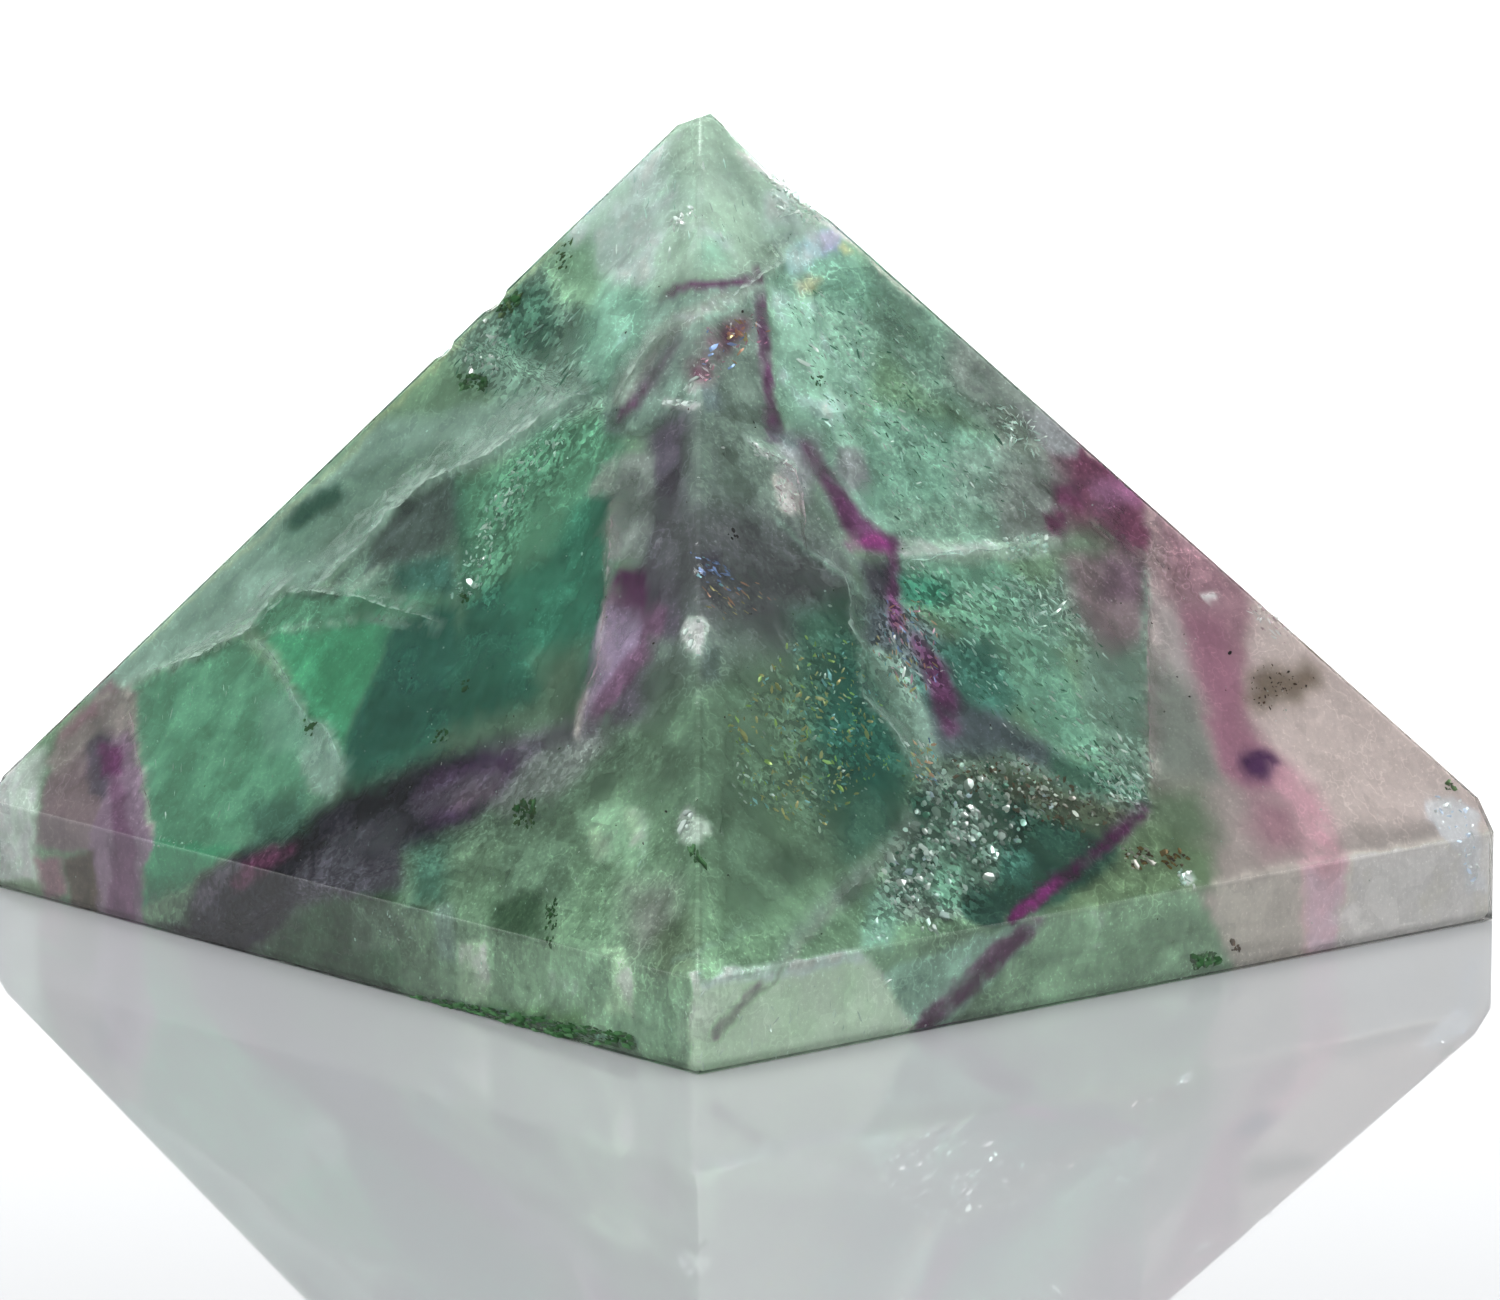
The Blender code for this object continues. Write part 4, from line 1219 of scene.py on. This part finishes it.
def add_lens(points, faces, centre, along, across, thickness, roundness, draw):
    """A closed sliver with pointed edges, from its middle and its two half widths."""
    first = len(points)
    corners = int(draw.integers(4, 7)) + roundness
    for k in range(corners):
        turn = 2 * pi * (k + draw.uniform(-CORNER_SHAKE, CORNER_SHAKE)) / corners
        points.append(centre + along * cos(turn) + across * sin(turn))
    face_normal = unit(np.cross(along, across)) * thickness
    points.append(centre + face_normal)
    points.append(centre - face_normal)
    top = first + corners
    for k in range(corners):
        a, b = first + k, first + (k + 1) % corners
        faces.append((a, b, top))
        faces.append((b, a, top + 1))
    return corners + 2


def strew(name, rows, material, seed):
    """Closed slivers strewn through regions of the stone, joined in one piece."""
    draw = np.random.default_rng(seed)
    points, faces, colours = [], [], []
    for _, tints, count, length, width, angle, spread, shallow, deep, outline in rows:
        tints = [np.array(TINTS[tint]) for tint in tints.split("+")]
        roundness = MORE_CORNERS if width > ROUND_FROM * length else 0
        for u, v in random_spots(draw, outline, int(count)):
            near_ridge = min(1.0, SHALLOWEST_SHARE + abs(u - FRONT_RIDGE_U) / RIDGE_SHALLOWS)
            depth = max(SHALLOWER * draw.uniform(shallow, deep) * near_ridge, LEAST_DEPTH_MM)
            centre = inside(u, v, depth * MM)
            if face_distances(centre)[0, 0] < BURIED:
                continue
            turn = radians(angle + spread * draw.normal())
            tilt = draw.normal(0, TILT, 2)
            along = unit(EYE_RIGHT * cos(turn) - EYE_UP * sin(turn) + EYE_BACK * tilt[0])
            across = unit(EYE_RIGHT * sin(turn) + EYE_UP * cos(turn) + EYE_BACK * tilt[1])
            size = draw.lognormal(0, SIZE_SPREAD) * 0.5 * MM
            tint = tints[draw.integers(len(tints))] * draw.uniform(*TINT_SPREAD)
            added = add_lens(points, faces, centre, along * length * size, across * width * size,
                             THICKNESS * width * size, roundness, draw)
            colours += [tint] * added
    mesh = bpy.data.meshes.new(name)
    mesh.from_pydata([tuple(p) for p in points], [], faces)
    paint(mesh, "growth", np.array(colours))
    add_piece(name, mesh, material)


# name, tint, how dense, mm deep at the crease and at the far edge | crease | far edge
VEILS = table("""
veil_low milk 0.7 0.12 1 | 120,683 170,665 215,647 250,628 262,610 275,592 293,577 | 100,650 140,615
    190,575 230,540 262,520 300,500 320,490
veil_middle milk 0.55 0.12 0.9 | 252,632 285,594 310,592 350,596 440,622 | 270,560 300,556 330,552
    360,556 440,590
veil_high milk 0.75 0.12 1.1 | 313,590 350,555 385,515 430,480 465,466 500,445 548,412 600,385 | 280,540
    320,490 365,440 410,405 450,375 490,350 540,330 590,320
veil_vein ice 0.6 0.12 0.5 | 250,640 265,646 280,665 288,680 295,700 310,720 325,725 344,768 | 248,650
    258,660 268,680 276,700 284,726 292,752 300,780 322,800
tip_wave milk 0.6 0.12 0.9 | 612,410 630,372 650,340 670,325 700,312 730,300 770,272 800,245 | 596,360
    612,330 632,305 655,290 690,272 722,262 760,246 790,222
chip_arc milk 0.5 0.08 0.5 | 778,224 785,218 800,215 815,215 826,222 | 758,200 768,192 780,186 792,186
    806,198
crack_flap pale_rose 0.6 0.1 0.6 | 745,435 760,450 775,455 795,467 803,490 806,548 | 752,450 764,470
    772,490 778,510 784,524 798,545
ridge_sheet milk 0.55 0.1 1.2 | 805,548 845,575 850,600 850,625 862,645 862,695 895,730 915,765 940,795
    | 835,545 868,570 880,600 880,630 888,650 892,690 916,720 936,750 955,780
lilac_sheet pale_rose 0.45 0.1 0.8 | 612,500 608,550 605,600 598,650 582,700 573,738 | 640,505 640,550
    640,600 625,650 602,700 580,736
shelf_sheet ice 0.6 0.08 0.7 | 902,562 940,556 980,550 1015,548 1048,536 1066,532 | 908,546 942,542
    980,540 1012,538 1040,530 1056,526
lens_sheet milk 0.5 0.1 1.2 | 905,838 880,858 860,880 830,912 800,945 765,985 730,1025 | 880,840 850,862
    825,884 795,915 765,950 735,985 712,1020
rose_sheet pale_rose 0.4 0.1 0.8 | 1147,540 1147,600 1148,660 1149,720 1150,790 | 1180,560 1182,610
    1180,665 1176,720 1170,790
left_corner_sheet pale_rose 0.4 0.08 0.8 | 126,692 135,740 145,790 155,835 146,880 | 112,700 116,745
    124,795 132,840 130,885
""")
VEIL_STEP = 2.5
VEIL_ROWS = 12
LEAST_VEIL_COLUMNS = 8
# how a sheet is crumpled, sinks away from its crease and fades towards its ends and its far edge
RIPPLE_ALONG, RIPPLE_ACROSS, RIPPLE_BETWEEN = 0.11, 0.45, 5.3
RIPPLE_SHIFT = 3.0
RIPPLE_DEPTH_MM = 0.18
SINK_POWER = 0.8
END_FADE, END_LEAST = 6, 0.15
SHEET_HAZE, HAZE_POWER = 0.75, 1.3
CREASE_HAZE = 0.9


def resampled(line, count):
    """So many points evenly spaced along a line."""
    line = np.array(line, float)
    run = np.concatenate([[0], np.cumsum(np.linalg.norm(np.diff(line, axis=0), axis=1))])
    at = np.linspace(0, run[-1], count)
    return np.stack([np.interp(at, run, line[:, 0]), np.interp(at, run, line[:, 1])], axis=-1)


def make_veils():
    """Healed fractures: crumpled, half see-through sheets, brightest along their creases."""
    points, faces, colours = [], [], []
    for row, (_, tint, dense, crease_deep, far_deep, crease, far) in enumerate(VEILS):
        length = np.linalg.norm(np.diff(np.array(crease), axis=0), axis=1).sum()
        columns = max(LEAST_VEIL_COLUMNS, int(length / VEIL_STEP))
        near_line, far_line = resampled(crease, columns), resampled(far, columns)
        first = len(points)
        for k in range(VEIL_ROWS):
            t = k / (VEIL_ROWS - 1)
            for i in range(columns):
                shake = Vector((i * RIPPLE_ALONG, k * RIPPLE_ACROSS, row * RIPPLE_BETWEEN))
                ripple = noise.fractal(shake, ROUGH_NOISE, OCTAVE_STEP, 4)
                u, v = near_line[i] + (far_line[i] - near_line[i]) * t + ripple * RIPPLE_SHIFT
                deep = crease_deep + (far_deep - crease_deep) * t ** SINK_POWER
                deep += RIPPLE_DEPTH_MM * ripple * t
                points.append(inside(u, v, max(deep, LEAST_DEPTH_MM) * MM))
                ends = min(1.0, END_FADE * min(i, columns - 1 - i) / columns + END_LEAST)
                haze = (1 - t) ** HAZE_POWER * SHEET_HAZE + (CREASE_HAZE if k == 0 else 0)
                colours.append((*TINTS[tint], min(1.0, dense * ends * haze)))
                if k and i:
                    here = first + k * columns + i
                    faces.append((here, here - 1, here - columns - 1, here - columns))
    mesh = bpy.data.meshes.new("veils")
    mesh.from_pydata([tuple(p) for p in points], [], faces)
    mesh.shade_smooth()
    paint(mesh, "growth", np.array(colours))
    points = np.array(points)
    paint_flow(mesh, grain_flow(points, grain_masks(seen_at(points)[0])))
    add_piece("veils", mesh, inclusion_material("veil", roughness=0.45, metallic=0.0, see_through=True))


# ---------------------------------------------------------------- table and studio

BACKDROP_LIGHT = 3.0
DIM_LIGHT = 0.30
OVERHEAD_LIGHT = 7.0
# heights on the sky, from 0 at eye level to 1 overhead, between which the light changes
BACKDROP_FADE = (0.18, 0.36)
OVERHEAD_FADE = (0.72, 0.86)
TABLE_HALF = 3.0
TABLE_GAP = 0.02 * MM
TABLE_COLOUR = (0.16, 0.165, 0.17, 1)
TABLE_GLOW_COLOUR = (0.93, 0.98, 1.0, 1)
TABLE_GLOW = 0.08
TABLE_ROUGHNESS = 0.02
TABLE_IOR = 1.49


def make_floor():
    corners = [(x * TABLE_HALF, y * TABLE_HALF, 0) for x, y in ((-1, -1), (1, -1), (1, 1), (-1, 1))]
    mesh = bpy.data.meshes.new("table")
    mesh.from_pydata(corners, [], [(0, 1, 2, 3)])
    floor = bpy.data.objects.new("table", mesh)
    floor.location = (0, 0, -TABLE_GAP)
    bpy.context.scene.collection.objects.link(floor)
    material, tree, shader = new_material("table")
    shader.inputs["Base Color"].default_value = TABLE_COLOUR
    shader.inputs["Emission Color"].default_value = TABLE_GLOW_COLOUR
    shader.inputs["Emission Strength"].default_value = TABLE_GLOW
    shader.inputs["Roughness"].default_value = TABLE_ROUGHNESS
    shader.inputs["IOR"].default_value = TABLE_IOR
    mesh.materials.append(material)


def make_world():
    """A white backdrop all round at eye level, a soft light overhead, and less between them."""
    world = bpy.data.worlds.new("studio")
    bpy.context.scene.world = world
    world.use_nodes = True
    # the sky is soft and the stone bends every ray, so rays aimed straight at the sky gain nothing
    world.cycles.sampling_method = "NONE"
    tree = world.node_tree
    background = tree.nodes["Background"]
    split = tree.nodes.new("ShaderNodeSeparateXYZ")
    tree.links.new(tree.nodes.new("ShaderNodeTexCoord").outputs["Generated"], split.inputs["Vector"])
    height = split.outputs["Z"]
    low = ranged(tree, height, BACKDROP_FADE, (BACKDROP_LIGHT, DIM_LIGHT))
    high = ranged(tree, height, OVERHEAD_FADE, (0.0, OVERHEAD_LIGHT - DIM_LIGHT))
    tree.links.new(math(tree, "ADD", low, high), background.inputs["Strength"])
    background.inputs["Color"].default_value = (1, 1, 1, 1)


# ---------------------------------------------------------------- build

make_crystal()
make_cloud("cloud_near", cloud_material("near_cloud", grained=True),
           scale=0.985, splits=2, sink=0.4 * MM, hug=1.0, wander=3.5, contrast=1.0)
make_cloud("cloud_deep", cloud_material("deep_cloud", grained=False),
           scale=0.88, splits=1, sink=1.0 * MM, hug=0.0, wander=8, contrast=0.8)
strew("glints", GLINTS, inclusion_material("glint", roughness=0.3, metallic=0.25), seed=11)
strew("rainbow_glints", RAINBOWS, inclusion_material("rainbow_glint", roughness=0.3, metallic=0.2),
      seed=12)
strew("specks", SPECKS, inclusion_material("speck", roughness=0.7, metallic=0.0), seed=13)
make_veils()
make_floor()
make_world()

scene = bpy.context.scene
scene.view_settings.view_transform = "Standard"
scene.cycles.max_bounces = 8
scene.cycles.transmission_bounces = 8
scene.cycles.glossy_bounces = 6
scene.cycles.diffuse_bounces = 2
scene.cycles.transparent_max_bounces = 24
